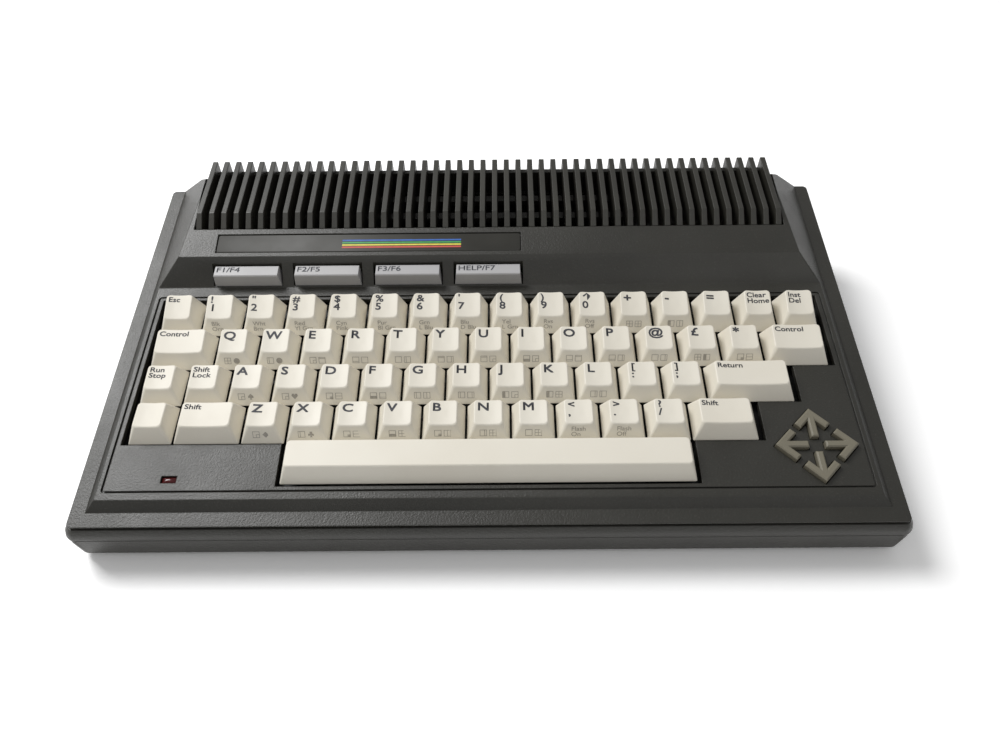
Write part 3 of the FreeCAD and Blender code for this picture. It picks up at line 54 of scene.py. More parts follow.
BRIM_HEIGHT, BRIM_DEPTH = 23.7, 189.0
BULGE_FLARE, BULGE_DROP, HALF_BRIM = 2.9, 6.0, 165.7
ORIGIN_BACK = ((BRIM_DEPTH - BULGE_FLARE) * math.cos(TILT) + BULGE_DROP * math.sin(TILT)) / 2
DECK = Matrix.Translation((0, -ORIGIN_BACK * MM, BRIM_HEIGHT * MM)) @ Matrix.Rotation(TILT, 4, "X")
LEVEL = Matrix.Identity(4)
MAIN_BODY = "computer"
WELD, FLAT_ANGLE = 0.002, math.radians(0.5)

# Keys
PITCH = 18.65
KEY_GAP = 0.9
KEY_BASE = 3.2
SPACE_ROW = 16.01
BLOCK_LEFT = -8 * PITCH
CAP_FRONT_INSET = 4.4
CAP_BASE_RADIUS, CAP_TOP_RADIUS = 0.6, 1.7
CAP_DISH = 0.6
CAP_WALL, CAP_ROOF, CAP_INNER_RADIUS = 1.3, 2.0, 0.4
CAP_EDGE, CAP_SHOULDER_SHARE, CORNER_TUCK_SHARE = 0.35, 0.95, 0.4
KEY_TOP_INSETS, SPACE_TOP_INSETS = (3.1, 1.5), (2.3, 1.3)
STEM_WIDTH, STEM_DROP = 5.0, 8.7
SPACE_STEM_SPREAD = 60.0
PRINT_LIFT = 0.05


def colour(code):
    """Linear colour of an sRGB hex code."""
    parts = [int(code[i:i + 2], 16) / 255 for i in (0, 2, 4)]
    return [c / 12.92 if c <= 0.04045 else ((c + 0.055) / 1.055) ** 2.4 for c in parts] + [1.0]


def per_metre(size):
    """Scale that gives a pattern of about this size in millimetres."""
    return 1 / (size * MM)


def add(tree, kind, inputs=(), **settings):
    """A node with its settings, and with a value or a link at each input that is named."""
    node = tree.nodes.new(kind)
    for name, setting in settings.items():
        setattr(node, name, setting)
    for socket, given in dict(inputs).items():
        if isinstance(given, bpy.types.NodeSocket):
            tree.links.new(given, node.inputs[socket])
        else:
            node.inputs[socket].default_value = given
    return node


def new_material(name):
    """Empty material with its tree and the place that its patterns follow."""
    material = bpy.data.materials.new(name)
    material.use_nodes = True
    tree = material.node_tree
    tree.nodes.clear()
    return material, tree, add(tree, "ShaderNodeTexCoord").outputs["Object"]


def moulded_abs(name, tone, deep, glint_and_wear_tone, rough, grain, relief, edge):
    """ABS moulded in a spark-eroded tool: a pebbled skin with slow patches of tone, painted highlights as
    lighter glints on the tops of the pebbles, and edges that handling has polished a little lighter."""
    material, tree, place = new_material(name)
    cloud = add(tree, "ShaderNodeTexNoise", {"Vector": place, "Scale": per_metre(45), "Detail": 3.0})
    patch = add(tree, "ShaderNodeMapRange", {0: cloud.outputs[0], 1: 0.35, 2: 0.65})
    ground = add(tree, "ShaderNodeMix", {0: patch.outputs[0], 6: colour(deep), 7: colour(tone)},
                 data_type="RGBA")
    pebbles = add(tree, "ShaderNodeTexNoise",
                  {"Vector": place, "Scale": per_metre(grain), "Detail": 3.0, "Roughness": 0.65})
    # Painted highlight: the tops of the pebbles are mixed towards the lighter tone, as the glints of the
    # sheen.
    painted_glint = add(tree, "ShaderNodeMapRange", {0: pebbles.outputs[0], 1: 0.58, 2: 0.80, 4: 0.30})
    skin = add(tree, "ShaderNodeMix", {0: painted_glint.outputs[0], 6: ground.outputs[2], 7: colour(glint_and_wear_tone)},
               data_type="RGBA")
    soft = add(tree, "ShaderNodeBevel", {"Radius": edge * MM}, samples=4)
    true = add(tree, "ShaderNodeNewGeometry")
    bend = add(tree, "ShaderNodeVectorMath", {0: soft.outputs[0], 1: true.outputs["Normal"]},
               operation="DOT_PRODUCT")
    rim = add(tree, "ShaderNodeMapRange", {0: bend.outputs["Value"], 1: 1.0, 2: 0.86})
    touch = add(tree, "ShaderNodeTexNoise", {"Vector": place, "Scale": per_metre(7), "Detail": 4.0})
    rubbed = add(tree, "ShaderNodeMapRange", {0: touch.outputs[0], 1: 0.40, 2: 0.70, 3: 0.05, 4: 0.40})
    wear = add(tree, "ShaderNodeMath", {0: rim.outputs[0], 1: rubbed.outputs[0]}, operation="MULTIPLY")
    worn = add(tree, "ShaderNodeMix", {0: wear.outputs[0], 6: skin.outputs[2], 7: colour(glint_and_wear_tone)},
               data_type="RGBA")
    film = add(tree, "ShaderNodeTexNoise", {"Vector": place, "Scale": per_metre(18), "Detail": 4.0})
    gloss = add(tree, "ShaderNodeMapRange",
                {0: film.outputs[0], 1: 0.30, 2: 0.70, 3: rough - 0.03, 4: rough + 0.04})
    bump = add(tree, "ShaderNodeBump",
               {"Distance": relief * MM, "Height": pebbles.outputs[0], "Normal": soft.outputs[0]})
    shader = add(tree, "ShaderNodeBsdfPrincipled", {
        "Base Color": worn.outputs[2], "Roughness": gloss.outputs[0], "IOR": 1.53,
        "Normal": bump.outputs[0]})
    add(tree, "ShaderNodeOutputMaterial", {"Surface": shader.outputs[0]})
    return material


def even_skin(name, tone, other, rough, size, relief, **shine):
    """Smooth finish whose tone and gloss drift slowly between two colours, over a fine uneven skin."""
    material, tree, place = new_material(name)
    cloud = add(tree, "ShaderNodeTexNoise", {"Vector": place, "Scale": per_metre(size), "Detail": 3.0})
    patch = add(tree, "ShaderNodeMapRange", {0: cloud.outputs[0], 1: 0.35, 2: 0.65})
    tint = add(tree, "ShaderNodeMix", {0: patch.outputs[0], 6: colour(tone), 7: colour(other)},
               data_type="RGBA")
    gloss = add(tree, "ShaderNodeMapRange",
                {0: cloud.outputs[0], 1: 0.30, 2: 0.70, 3: rough, 4: rough + 0.08})
    grit = add(tree, "ShaderNodeTexNoise", {"Vector": place, "Scale": per_metre(size / 8), "Detail": 3.0})
    bump = add(tree, "ShaderNodeBump", {"Distance": relief * MM, "Height": grit.outputs[0]})
    shader = add(tree, "ShaderNodeBsdfPrincipled", {
        "Base Color": tint.outputs[2], "Roughness": gloss.outputs[0], "Normal": bump.outputs[0],
        **{socket.replace("_", " "): value for socket, value in shine.items()}})
    add(tree, "ShaderNodeOutputMaterial", {"Surface": shader.outputs[0]})
    return material


def etched_board():
    """Glass-epoxy board under green solder resist: copper tracks show as paler, raised lines."""
    material, tree, place = new_material("green_solder_resist")
    level = add(tree, "ShaderNodeMapping", {"Vector": place, "Scale": (per_metre(9),) * 3})
    tracks = add(tree, "ShaderNodeTexBrick", {
        "Vector": level.outputs[0], "Color1": colour("10381c"), "Color2": colour("0d3018"),
        "Mortar": colour("2c6a38"), "Scale": 1.0, "Mortar Size": 0.05, "Brick Width": 2.6,
        "Row Height": 0.28})
    bump = add(tree, "ShaderNodeBump", {"Distance": 0.035 * MM, "Height": tracks.outputs["Fac"]})
    shader = add(tree, "ShaderNodeBsdfPrincipled", {
        "Base Color": tracks.outputs["Color"], "Roughness": 0.32, "IOR": 1.55, "Normal": bump.outputs[0]})
    add(tree, "ShaderNodeOutputMaterial", {"Surface": shader.outputs[0]})
    return material


def ribbon_cable():
    """Grey PVC ribbon: one rib for each wire, 1.27 mm apart, with painted shade in the valleys between them
    and a painted highlight on their crests.
    """
    material, tree, place = new_material("grey_pvc_ribbon")
    ribs_with_painted_shade = add(tree, "ShaderNodeTexWave", {"Vector": place, "Scale": per_metre(1.27) / 20},
               bands_direction="X")
    # Painted shade and highlight: the colour follows the ribs, darker in the valleys and lighter on the
    # crests.
    tint = add(tree, "ShaderNodeMix", {0: ribs_with_painted_shade.outputs["Fac"], 6: colour("6c6b67"), 7: colour("97958f")},
               data_type="RGBA")
    bump = add(tree, "ShaderNodeBump", {"Distance": 0.3 * MM, "Height": ribs_with_painted_shade.outputs["Fac"]})
    shader = add(tree, "ShaderNodeBsdfPrincipled", {
        "Base Color": tint.outputs[2], "Roughness": 0.45, "Normal": bump.outputs[0]})
    add(tree, "ShaderNodeOutputMaterial", {"Surface": shader.outputs[0]})
    return material


# The real erosion grain is about 0.2 mm. It is drawn three to four times coarser, so that its bumps and the
# painted highlights on its pebble tops show as the fine sparkle that the sheen on the case has. The
# lightest colour of each moulded ABS is painted on those pebble tops and on worn edges.
CASE = moulded_abs("dark_grey_moulded_abs", "2f2e29", "282722", "5a5952", 0.40, 0.85, 0.17, 0.45)
# The grille is moulded in the same ABS, finer and a touch browner.
GRILLE = moulded_abs("grille_moulded_abs", "32312b", "2a2924", "5e5d54", 0.42, 0.60, 0.06, 0.35)
# Keycaps: warm white ABS that is nearly smooth, so that only a faint grain breaks the gloss.
CREAM = moulded_abs("warm_white_keycap_abs", "e4dfd2", "dfd9cb", "efeade", 0.50, 0.45, 0.014, 0.35)
# Function keys: cool light grey ABS, a little glossier than the keycaps.
COOL_GREY = moulded_abs("cool_grey_keycap_abs", "b2b1b1", "aaa9aa", "c6c5c5", 0.45, 0.45, 0.014, 0.30)
# Cursor keys: grey-brown ABS with pale rubbed rims.
TAUPE = moulded_abs("grey_brown_keycap_abs", "777263", "6f6a5c", "96917f", 0.45, 0.45, 0.018, 0.30)
# Sockets, switch and key plate: black ABS, seen only as deep shade between brighter pieces.
BLACK = moulded_abs("black_moulded_abs", "0e0e0d", "0a0a09", "24241f", 0.50, 0.50, 0.020, 0.20)
# Feet: moulded black rubber, the dullest surface of all.
RUBBER = even_skin("black_moulded_rubber", "141413", "1f1f1d", 0.75, 4, 0.03, IOR=1.52)
# Chips: transfer-moulded epoxy with a satin, slightly blue black.
EPOXY = even_skin("moulded_epoxy", "121213", "1b1b1c", 0.52, 6, 0.01)
# Modulator can: hot-tinned steel, bright with slow grey clouds.
TINNED = even_skin("tinned_steel", "b9b6ae", "9c998f", 0.30, 12, 0.01, Metallic=1.0)
# Screws: zinc plated steel with a dull, faintly mottled shine.
ZINC = even_skin("zinc_plated_steel", "a8a6a0", "85837d", 0.33, 3, 0.01, Metallic=1.0)
# Contacts: thin gold over nickel, warm and smooth.
GILT = even_skin("gilt_nickel", "c9a04a", "a98334", 0.26, 2, 0.004, Metallic=1.0)
# Legends: pad-printed ink, matt against the satin key.
DARK_INK = even_skin("dark_grey_pad_print", "37383c", "43444a", 0.60, 1.5, 0.002)
FAINT_INK = even_skin("light_grey_pad_print", "9a958c", "a7a298", 0.60, 1.5, 0.002)
SLATE_INK = even_skin("slate_pad_print", "5d5f66", "676970", 0.60, 1.5, 0.002)
# Lamp lens: deep red acrylic, polished, that mirrors a lamp on its crown.
LENS = even_skin("red_acrylic", "3c0a0b", "4c0d0d", 0.16, 2, 0.004, IOR=1.49)
# Badge strip: screen-printed polyester in the case's grey, with a flatter satin than the moulding.
STRIP = even_skin("screen_printed_polyester", "2e2d28", "33322d", 0.50, 14, 0.012)
# Stripes on the badge: opaque screen-printed inks.
STRIPES = [even_skin(f"{name}_screen_ink", code, other, 0.42, 2, 0.003) for name, code, other in (
    ("blue", "2f63b4", "2a5aa6"), ("green", "3d9e55", "38934e"), ("yellow", "ded250", "d2c648"),
    ("red", "cc5246", "c04a3f"))]
BOARD = etched_board()
RIBBON = ribbon_cable()


class Shape:
    """Points and faces gathered in deck millimetres, with a material number for each face."""

    def __init__(self):
        self.points, self.faces, self.numbers = [], [], []

    def ring(self, points):
        """Add points and give their numbers back."""
        start = len(self.points)
        self.points += [tuple(p) for p in points]
        return list(range(start, len(self.points)))

    def face(self, indices, number=0):
        self.faces.append(indices)
        self.numbers.append(number)

    def bridge(self, first, second):
        """Quads between two rings of equal length."""
        for i in range(len(first)):
            j = (i + 1) % len(first)
            self.face([first[i], first[j], second[j], second[i]])

    def loft(self, rings):
        """Closed solid through rings of points."""
        rings = [self.ring(points) for points in rings]
        for first, second in zip(rings, rings[1:]):
            self.bridge(first, second)
        self.face(rings[0][::-1])
        self.face(rings[-1])

    def box(self, low, high):
        (x0, y0, z0), (x1, y1, z1) = low, high
        corners = [(x0, y0), (x1, y0), (x1, y1), (x0, y1)]
        self.loft([[(x, y, z) for x, y in corners] for z in (z0, z1)])

    def prism(self, outline, left, right):
        """Solid with one outline of y and z from a left x to a right x."""
        self.loft([[(x, y, z) for y, z in outline] for x in (left, right)])

    def add_mesh(self, mesh, move, number):
        """Copy of a mesh, each point moved by a function."""
        start = len(self.points)
        self.points += [tuple(move(v.co)) for v in mesh.vertices]
        for polygon in mesh.polygons:
            self.face([start + i for i in polygon.vertices], number)

    def mesh(self, name, place=DECK):
        mesh = bpy.data.meshes.new(name)
        mesh.from_pydata([place @ (Vector(p) * MM) for p in self.points], [], self.faces)
        mesh.polygons.foreach_set("material_index", self.numbers)
        return mesh


def link(name, mesh):
    item = bpy.data.objects.new(name, mesh)
    bpy.context.scene.collection.objects.link(item)
    return item


def settled(item):
    """Plain mesh of an object with its modifiers worked in; the object goes."""
    graph = bpy.context.evaluated_depsgraph_get()
    mesh = bpy.data.meshes.new_from_object(item.evaluated_get(graph))
    bpy.data.objects.remove(item)
    return mesh


def smooth(mesh, sharp=40, flip=True):
    """Shade smooth up to an angle, with every face outwards."""
    work = bmesh.new()
    work.from_mesh(mesh)
    if flip:
        bmesh.ops.recalc_face_normals(work, faces=work.faces)
    for face in work.faces:
        face.smooth = True
    for edge in work.edges:
        edge.smooth = len(edge.link_faces) == 2 and edge.calc_face_angle(0) < math.radians(sharp)
    work.to_mesh(mesh)
    work.free()
    return mesh


def bevelled(mesh, width, segments=2, sharp=30):
    """The same mesh with its hard edges rounded, and with flat faces that still look flat."""
    smooth(mesh, sharp)
    item = link("edge_work", mesh)
    bevel = item.modifiers.new("edge", "BEVEL")
    bevel.width = width * MM
    bevel.segments = segments
    bevel.limit_method = "ANGLE"
    bevel.angle_limit = math.radians(sharp)
    bevel.harden_normals = True
    return settled(item)


def crisp(mesh):
    """The same mesh with normals led by the larger faces, so that only the rims look round."""
    item = link("normal_work", mesh)
    item.modifiers.new("normals", "WEIGHTED_NORMAL").keep_sharp = True
    return settled(item)


def welded(node):
    """Editable copy of a solid's mesh with its loose triangles joined."""
    work = bmesh.new()
    work.from_mesh(frame["nodes"][node].data)
    bmesh.ops.remove_doubles(work, verts=work.verts, dist=WELD * MM)
    return work


def merged_copy(node):
    """Copy of a solid's mesh with its flat faces cleared."""
    work = welded(node)
    bmesh.ops.dissolve_limit(work, angle_limit=FLAT_ANGLE, verts=work.verts, edges=work.edges)
    mesh = bpy.data.meshes.new(node)
    work.to_mesh(mesh)
    work.free()
    return mesh


def settle(name, mesh, body, finishes, replaces=()):
    """Finished object that rides on a body."""
    for finish in finishes:
        mesh.materials.append(finish)
    item = link(name, mesh)
    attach(item, body)
    if replaces:
        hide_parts(*replaces)


def solids_of(node, place):
    """Box of each loose solid of a node, in millimetres of a frame, from left to right."""
    work = welded(node)
    back = place.inverted()
    left, boxes = set(work.verts), []
    while left:
        queue, points = [left.pop()], []
        while queue:
            vert = queue.pop()
            points.append(back @ vert.co / MM)
            near = {edge.other_vert(vert) for edge in vert.link_edges} & left
            left -= near
            queue += near
        boxes.append(tuple(Vector(pick(p[i] for p in points) for i in range(3)) for pick in (min, max)))
    work.free()
    return sorted(boxes, key=lambda box: box[0].x + box[1].x)


# Trees that repeat a piece
def copies_tree(name, sockets, points_of):
    """Tree with named inputs that puts a piece at points, made real and given one finish."""
    tree = bpy.data.node_groups.new(name, "GeometryNodeTree")
    for label, kind in (("Host", "Geometry"), *sockets, ("Piece", "Object"), ("Finish", "Material")):
        tree.interface.new_socket(label, in_out="INPUT", socket_type=f"NodeSocket{kind}")
    tree.interface.new_socket("Result", in_out="OUTPUT", socket_type="NodeSocketGeometry")
    group = add(tree, "NodeGroupInput")
    piece = add(tree, "GeometryNodeObjectInfo", {"Object": group.outputs["Piece"]})
    copies = add(tree, "GeometryNodeInstanceOnPoints",
                 {"Points": points_of(tree, group), "Instance": piece.outputs["Geometry"]})
    real = add(tree, "GeometryNodeRealizeInstances", {"Geometry": copies.outputs[0]})
    finished = add(tree, "GeometryNodeSetMaterial",
                   {"Geometry": real.outputs[0], "Material": group.outputs["Finish"]})
    add(tree, "NodeGroupOutput", {0: finished.outputs[0]})
    return tree


def row_points(tree, group):
    """Points in a straight row."""
    line = add(tree, "GeometryNodeMeshLine", {
        "Count": group.outputs["Count"], "Start Location": group.outputs["Start"],
        "Offset": group.outputs["Step"]}, mode="OFFSET")
    return line.outputs[0]


def arc_points(tree, group):
    """Points spread evenly over an arc that faces the rear, about its middle."""
    arc = add(tree, "GeometryNodeCurveArc", {
        "Radius": group.outputs["Radius"], "Start Angle": group.outputs["Start Angle"],
        "Sweep Angle": group.outputs["Sweep"]})
    points = add(tree, "GeometryNodeCurveToPoints", {0: arc.outputs[0], "Count": group.outputs["Count"]})
    upright = add(tree, "GeometryNodeTransform", {
        "Geometry": points.outputs[0], "Translation": group.outputs["Middle"],
        "Rotation": (math.pi / 2, 0, 0)})
    return upright.outputs[0]


ROW = copies_tree("row_of_copies", (("Count", "Int"), ("Start", "Vector"), ("Step", "Vector")), row_points)
ARC = copies_tree("copies_on_an_arc", (("Count", "Int"), ("Radius", "Float"), ("Start Angle", "Float"),
                                       ("Sweep", "Float"), ("Middle", "Vector")), arc_points)
SPOTS = copies_tree("copies_at_spots", (), lambda tree, group: group.outputs["Host"])


def repeated(tree, piece, finish, host=None, **inputs):
    """Plain mesh of a piece repeated by a tree, each input set by its identifier."""
    pattern = link("pattern", piece)
    item = link("host", host or bpy.data.meshes.new("host"))
    modifier = item.modifiers.new("copies", "NODES")
    modifier.node_group = tree
    given = {name.replace("_", " "): value for name, value in inputs.items()}
    given.update(Piece=pattern, Finish=finish)
    for socket in tree.interface.items_tree:
        if socket.name in given:
            modifier[socket.identifier] = given[socket.name]
    mesh = settled(item)
    bpy.data.objects.remove(pattern)
    return mesh


# Case
CASE_EDGE = 0.3
WAIST_DROP, WAIST_TUCK, WAIST_BAND, SEAM_REACH = 8.0, 0.6, 4.0, 0.05
CREASE_WIDTH, CREASE_DEPTH = 0.3, 1.1


def creased(mesh):
    """The lower shell with the fine seam that runs round it under the rounded lip."""
    work = bmesh.new()
    work.from_mesh(mesh)
    back = DECK.inverted()
    rear = max(vert.co.y for vert in work.verts)

    def on_waist(vert):
        x, y, z = back @ vert.co / MM
        return abs(z + WAIST_DROP) < SEAM_REACH and (abs(x) > HALF_BRIM - WAIST_BAND or y < WAIST_BAND)

    seam = [edge for edge in work.edges if all(on_waist(vert) for vert in edge.verts)]
    for vert in {vert for edge in seam for vert in edge.verts}:
        vert.co -= vert.normal * WAIST_TUCK * MM
    cut = bmesh.ops.bevel(work, geom=seam, offset=CREASE_WIDTH * MM, segments=2, profile=0.5,
                          affect="EDGES")
    work.normal_update()
    rims = {vert for vert in cut["verts"] if any(face not in cut["faces"] for face in vert.link_faces)}
    for vert in set(cut["verts"]) - rims:
        vert.co -= vert.normal * CREASE_DEPTH * MM
    for vert in cut["verts"]:
        vert.co.y = min(vert.co.y, rear)
    work.to_mesh(mesh)
    work.free()
    return mesh


upper_shell = bevelled(merged_copy("top_case"), CASE_EDGE)
settle("top_case_shell", upper_shell, MAIN_BODY, [CASE], ["top_case"])
lower_shell = crisp(creased(bevelled(merged_copy("bottom_case"), CASE_EDGE)))
settle("bottom_case_shell", lower_shell, MAIN_BODY, [CASE], ["bottom_case"])

# Vent grille
VENT_FRONT, VENT_HALF = 144.8, 140.5
RIDGE_EDGE_Y, RIDGE_EDGE_Z, CREST_Y, CREST_Z = 129.1, 14.5, 176.0, 20.3
FIN_COUNT, FIN_ROOT, FIN_TOP, FIN_END_GAP, FIN_GAP = 48, 3.5, 2.5, 0.57, 0.3
FIN_BEND, FIN_TIP, FIN_HEEL = (152.0, 20.4), (190.0, 18.9), (188.2, 6.0)
FIN_EDGE = 0.28
FIN_PITCH = (2 * VENT_HALF - 2 * FIN_END_GAP - FIN_ROOT) / (FIN_COUNT - 1)
RAIL_RUN, RAIL_DROP, RAIL_THICKNESS, RAIL_SINK = 6.7, 6.5, 3.2, 1.0
BAR_COUNT, BARS_FIRST, BARS_STEP, BAR_WIDTH, BAR_HEIGHT = 2, 160.0, 12.0, 4.0, 3.0
WALL_Y, WALL_THICKNESS, WALL_TOP, VENT_FLOOR = 185.0, 2.4, 14.6, 2.0
END_WIDTH = 1.2


def deck_rise(y):
    """Height of the ridge's top plane."""
    return RIDGE_EDGE_Z + (y - RIDGE_EDGE_Y) * (CREST_Z - RIDGE_EDGE_Z) / (CREST_Y - RIDGE_EDGE_Y)


def fin_mesh():
    """One fin: a side outline that tapers in width from its root to its top."""
    front = VENT_FRONT + FIN_GAP
    outline = [(front, FIN_HEEL[1]), (front, deck_rise(VENT_FRONT)), FIN_BEND, FIN_TIP, FIN_HEEL]
    rings = []
    for side in (-1, 1):
        half = [(FIN_ROOT + (FIN_TOP - FIN_ROOT) * z / FIN_BEND[1]) / 2 for y, z in outline]
        rings.append([(side * x, y, z) for x, (y, z) in zip(half, outline)])
    shape = Shape()
    shape.loft(rings)
    return bevelled(shape.mesh("fin"), FIN_EDGE)


def grille_frame_mesh():
    """Front rail, cross bars, rear wall and ends that carry the fins."""
    shape = Shape()
    left, right, front = -VENT_HALF + FIN_GAP, VENT_HALF - FIN_GAP, VENT_FRONT + FIN_GAP
    top = deck_rise(VENT_FRONT)
    low = top - RAIL_DROP - RAIL_THICKNESS
    foot = VENT_FRONT + RAIL_RUN
    shape.prism([(front, top - RAIL_SINK), (foot, top - RAIL_DROP), (foot, low), (front, low)], left, right)
    for number in range(BAR_COUNT):
        y = BARS_FIRST + number * BARS_STEP
        z = FIN_HEEL[1] - BAR_HEIGHT / 2
        shape.box((left, y, z), (right, y + BAR_WIDTH, z + BAR_HEIGHT))
    shape.box((left, WALL_Y, VENT_FLOOR), (right, WALL_Y + WALL_THICKNESS, WALL_TOP))
    for x in (left, right - END_WIDTH):
        shape.box((x, front, VENT_FLOOR), (x + END_WIDTH, WALL_Y, FIN_HEEL[1] + BAR_HEIGHT))
    return bevelled(shape.mesh("grille_frame"), FIN_EDGE)


first_fin = (-(FIN_COUNT - 1) / 2 * FIN_PITCH * MM, 0, 0)
fins = repeated(ROW, fin_mesh(), GRILLE, Count=FIN_COUNT, Start=first_fin, Step=(FIN_PITCH * MM, 0, 0))
settle("vent_fins", fins, MAIN_BODY, [], ["vent_grille"])
settle("vent_frame", grille_frame_mesh(), MAIN_BODY, [GRILLE], ["vent_grille"])


def rounded_ring(left, right, low, high, radius, steps=5, along=5):
    """Points round a rectangle with round corners, each side divided so that rings match."""
    corners = [(right - radius, low + radius, -90), (right - radius, high - radius, 0),
               (left + radius, high - radius, 90), (left + radius, low + radius, 180)]
    points = []
    for index, (x, y, start) in enumerate(corners):
        for i in range(steps + 1):
            a = math.radians(start + 90 * i / steps)
            points.append((x + radius * math.cos(a), y + radius * math.sin(a)))
        x2, y2, start2 = corners[(index + 1) % 4]
        a = math.radians(start2)
        begin, end = Vector(points[-1]), Vector((x2 + radius * math.cos(a), y2 + radius * math.sin(a)))
        points += [tuple(begin.lerp(end, i / along)) for i in range(1, along)]
    return points


# Keycap rows: place counted from the space bar's row, front and back height over the base
PROFILES = {"space": (0, 7.3, 6.9), "lower": (1, 7.4, 7.3), "middle": (2, 7.3, 7.9), "upper": (3, 7.3, 8.8),
            "digit": (4, 7.5, 10.2)}


class Cap:
    """One keycap's sizes, in deck millimetres."""

    def __init__(self, row, units, left):
        number, self.front, self.back = PROFILES[row]
        self.long = row == "space"
        self.x0 = BLOCK_LEFT + left * PITCH + KEY_GAP / 2
        self.x1 = BLOCK_LEFT + (left + units) * PITCH - KEY_GAP / 2
        self.y0 = SPACE_ROW + number * PITCH + KEY_GAP / 2
        self.y1 = self.y0 + PITCH - KEY_GAP
        side, rear = SPACE_TOP_INSETS if self.long else KEY_TOP_INSETS
        self.tx0, self.tx1 = self.x0 + side, self.x1 - side
        self.ty0, self.ty1 = self.y0 + CAP_FRONT_INSET, self.y1 - rear
        self.dish = 0.0 if self.long else CAP_DISH

    def top(self, x, y):
        """Height of the dished top at a place."""
        share = (y - self.ty0) / (self.ty1 - self.ty0)
        middle, half = (self.tx0 + self.tx1) / 2, (self.tx1 - self.tx0) / 2
        across = max(0.0, 1 - ((x - middle) / half) ** 2)
        return KEY_BASE + self.front + (self.back - self.front) * share - self.dish * across

    def front_face(self, x, share):
        """Point on the sloping front face, at a share of its height from the base."""
        z = self.top(x, self.ty0)
        return Vector((x, self.y0 + (self.ty0 - self.y0) * share, KEY_BASE + (z - KEY_BASE) * share))

    def wall(self, share, inset=0.0, drop=0.0):
        """Ring on the outer wall, at a share of the way from the base to the top."""
        radius = CAP_BASE_RADIUS + (CAP_TOP_RADIUS - CAP_BASE_RADIUS) * share - inset * CORNER_TUCK_SHARE
        ring = rounded_ring(self.x0 + (self.tx0 - self.x0) * share + inset,
                            self.x1 + (self.tx1 - self.x1) * share - inset,
                            self.y0 + (self.ty0 - self.y0) * share + inset,
                            self.y1 + (self.ty1 - self.y1) * share - inset, radius)
        return [(x, y, KEY_BASE + (self.top(x, y) - drop - KEY_BASE) * share) for x, y in ring]

    def add_to(self, shape):
        """Outer skin with a rounded rim, hollow inside and guide stems."""
        rings = [self.wall(share) for share in (0.0, 0.04, 0.5, CAP_SHOULDER_SHARE)]
        for turn in (22.5, 45.0, 67.5, 90.0):
            rise, run = math.sin(math.radians(turn)), math.cos(math.radians(turn))
            share = CAP_SHOULDER_SHARE + (1 - CAP_SHOULDER_SHARE) * rise
            rings.append(self.wall(share, CAP_EDGE * (1 - run), CAP_EDGE * (1 - rise) * 0.5))
        middle = Vector(((self.tx0 + self.tx1) / 2, (self.ty0 + self.ty1) / 2))
        rim = [Vector(point[:2]) for point in rings[-1]]
        for share in (0.75, 0.5, 0.25):
            spots = [middle.lerp(point, share) for point in rim]
            rings.append([(x, y, self.top(x, y)) for x, y in spots])
        rings = [shape.ring(ring) for ring in rings]
        for first, second in zip(rings, rings[1:]):
            shape.bridge(first, second)
        shape.face(rings[-1])
        roof = KEY_BASE + self.front - CAP_ROOF
        low = [(x, y, KEY_BASE) for x, y in rounded_ring(
            self.x0 + CAP_WALL, self.x1 - CAP_WALL, self.y0 + CAP_WALL, self.y1 - CAP_WALL,
            CAP_INNER_RADIUS)]
        high = [(x, y, roof) for x, y in rounded_ring(
            self.tx0 + CAP_WALL, self.tx1 - CAP_WALL, self.ty0 + CAP_WALL, self.ty1 - CAP_WALL,
            CAP_INNER_RADIUS)]
        low, high = shape.ring(low), shape.ring(high)
        shape.bridge(low, rings[0])
        shape.bridge(high, low)
        shape.face(high[::-1])
        half, y = STEM_WIDTH / 2, self.y0 - KEY_GAP / 2 + PITCH / 2
        for beside in (-SPACE_STEM_SPREAD, 0, SPACE_STEM_SPREAD) if self.long else (0,):
            x = middle.x + beside
            shape.box((x - half, y - half, KEY_BASE - STEM_DROP), (x + half, y + half, roof))


# Lettering
LETTERING = {}
LETTER_WIDTH, SMALL_LETTER_WIDTH, LINE_SPACE = 1.22, 1.1, 0.88


def letter_mesh(text):
    """Flat mesh of a text at font size one, with its lower left corner at zero, made once."""
    if text not in LETTERING:
        curve = bpy.data.curves.new("lettering", "FONT")
        curve.body = text
        curve.resolution_u = 3
        curve.space_line = LINE_SPACE
        LETTERING[text] = settled(link("lettering", curve))
        bpy.data.curves.remove(curve)
    return LETTERING[text]


CAPITAL = max(vert.co.y for vert in letter_mesh("H").vertices)
TOP_INK, FRONT_INK = 1, 2


def print_text(shape, rise, text, height, left, back, bold, number):
    """Lettering on a surface of known height, with its upper left corner at a place. Four strikes of
    the same letters, a stroke's growth apart, make it bold."""
    size = height / CAPITAL
    for dx, dy in ((-1, -1), (1, -1), (-1, 1), (1, 1)):
        def move(point):
            x = left + point.x * size * LETTER_WIDTH + dx * bold / 2
            y = back - height + point.y * size + dy * bold / 2
            return x, y, rise(x, y) + PRINT_LIFT
        shape.add_mesh(letter_mesh(text), move, number)


def print_on_top(shape, cap, text, height, left, back, bold):
    """Lettering on a cap's top, at a distance from the top's left and back edges."""
    print_text(shape, cap.top, text, height, cap.tx0 + left, cap.ty1 - back, bold, TOP_INK)


def on_front(cap, points, x, share):
    """Points of a flat pattern in millimetres, moved onto a cap's front face from a place upwards."""
    low, high = cap.front_face(x, 0.0), cap.front_face(x, 1.0)
    up = (high - low).normalized()
    foot = low + (high - low) * share + Vector((0, -up.z, up.y)) * PRINT_LIFT
    return [foot + Vector((u, 0, 0)) + up * v for u, v in points]


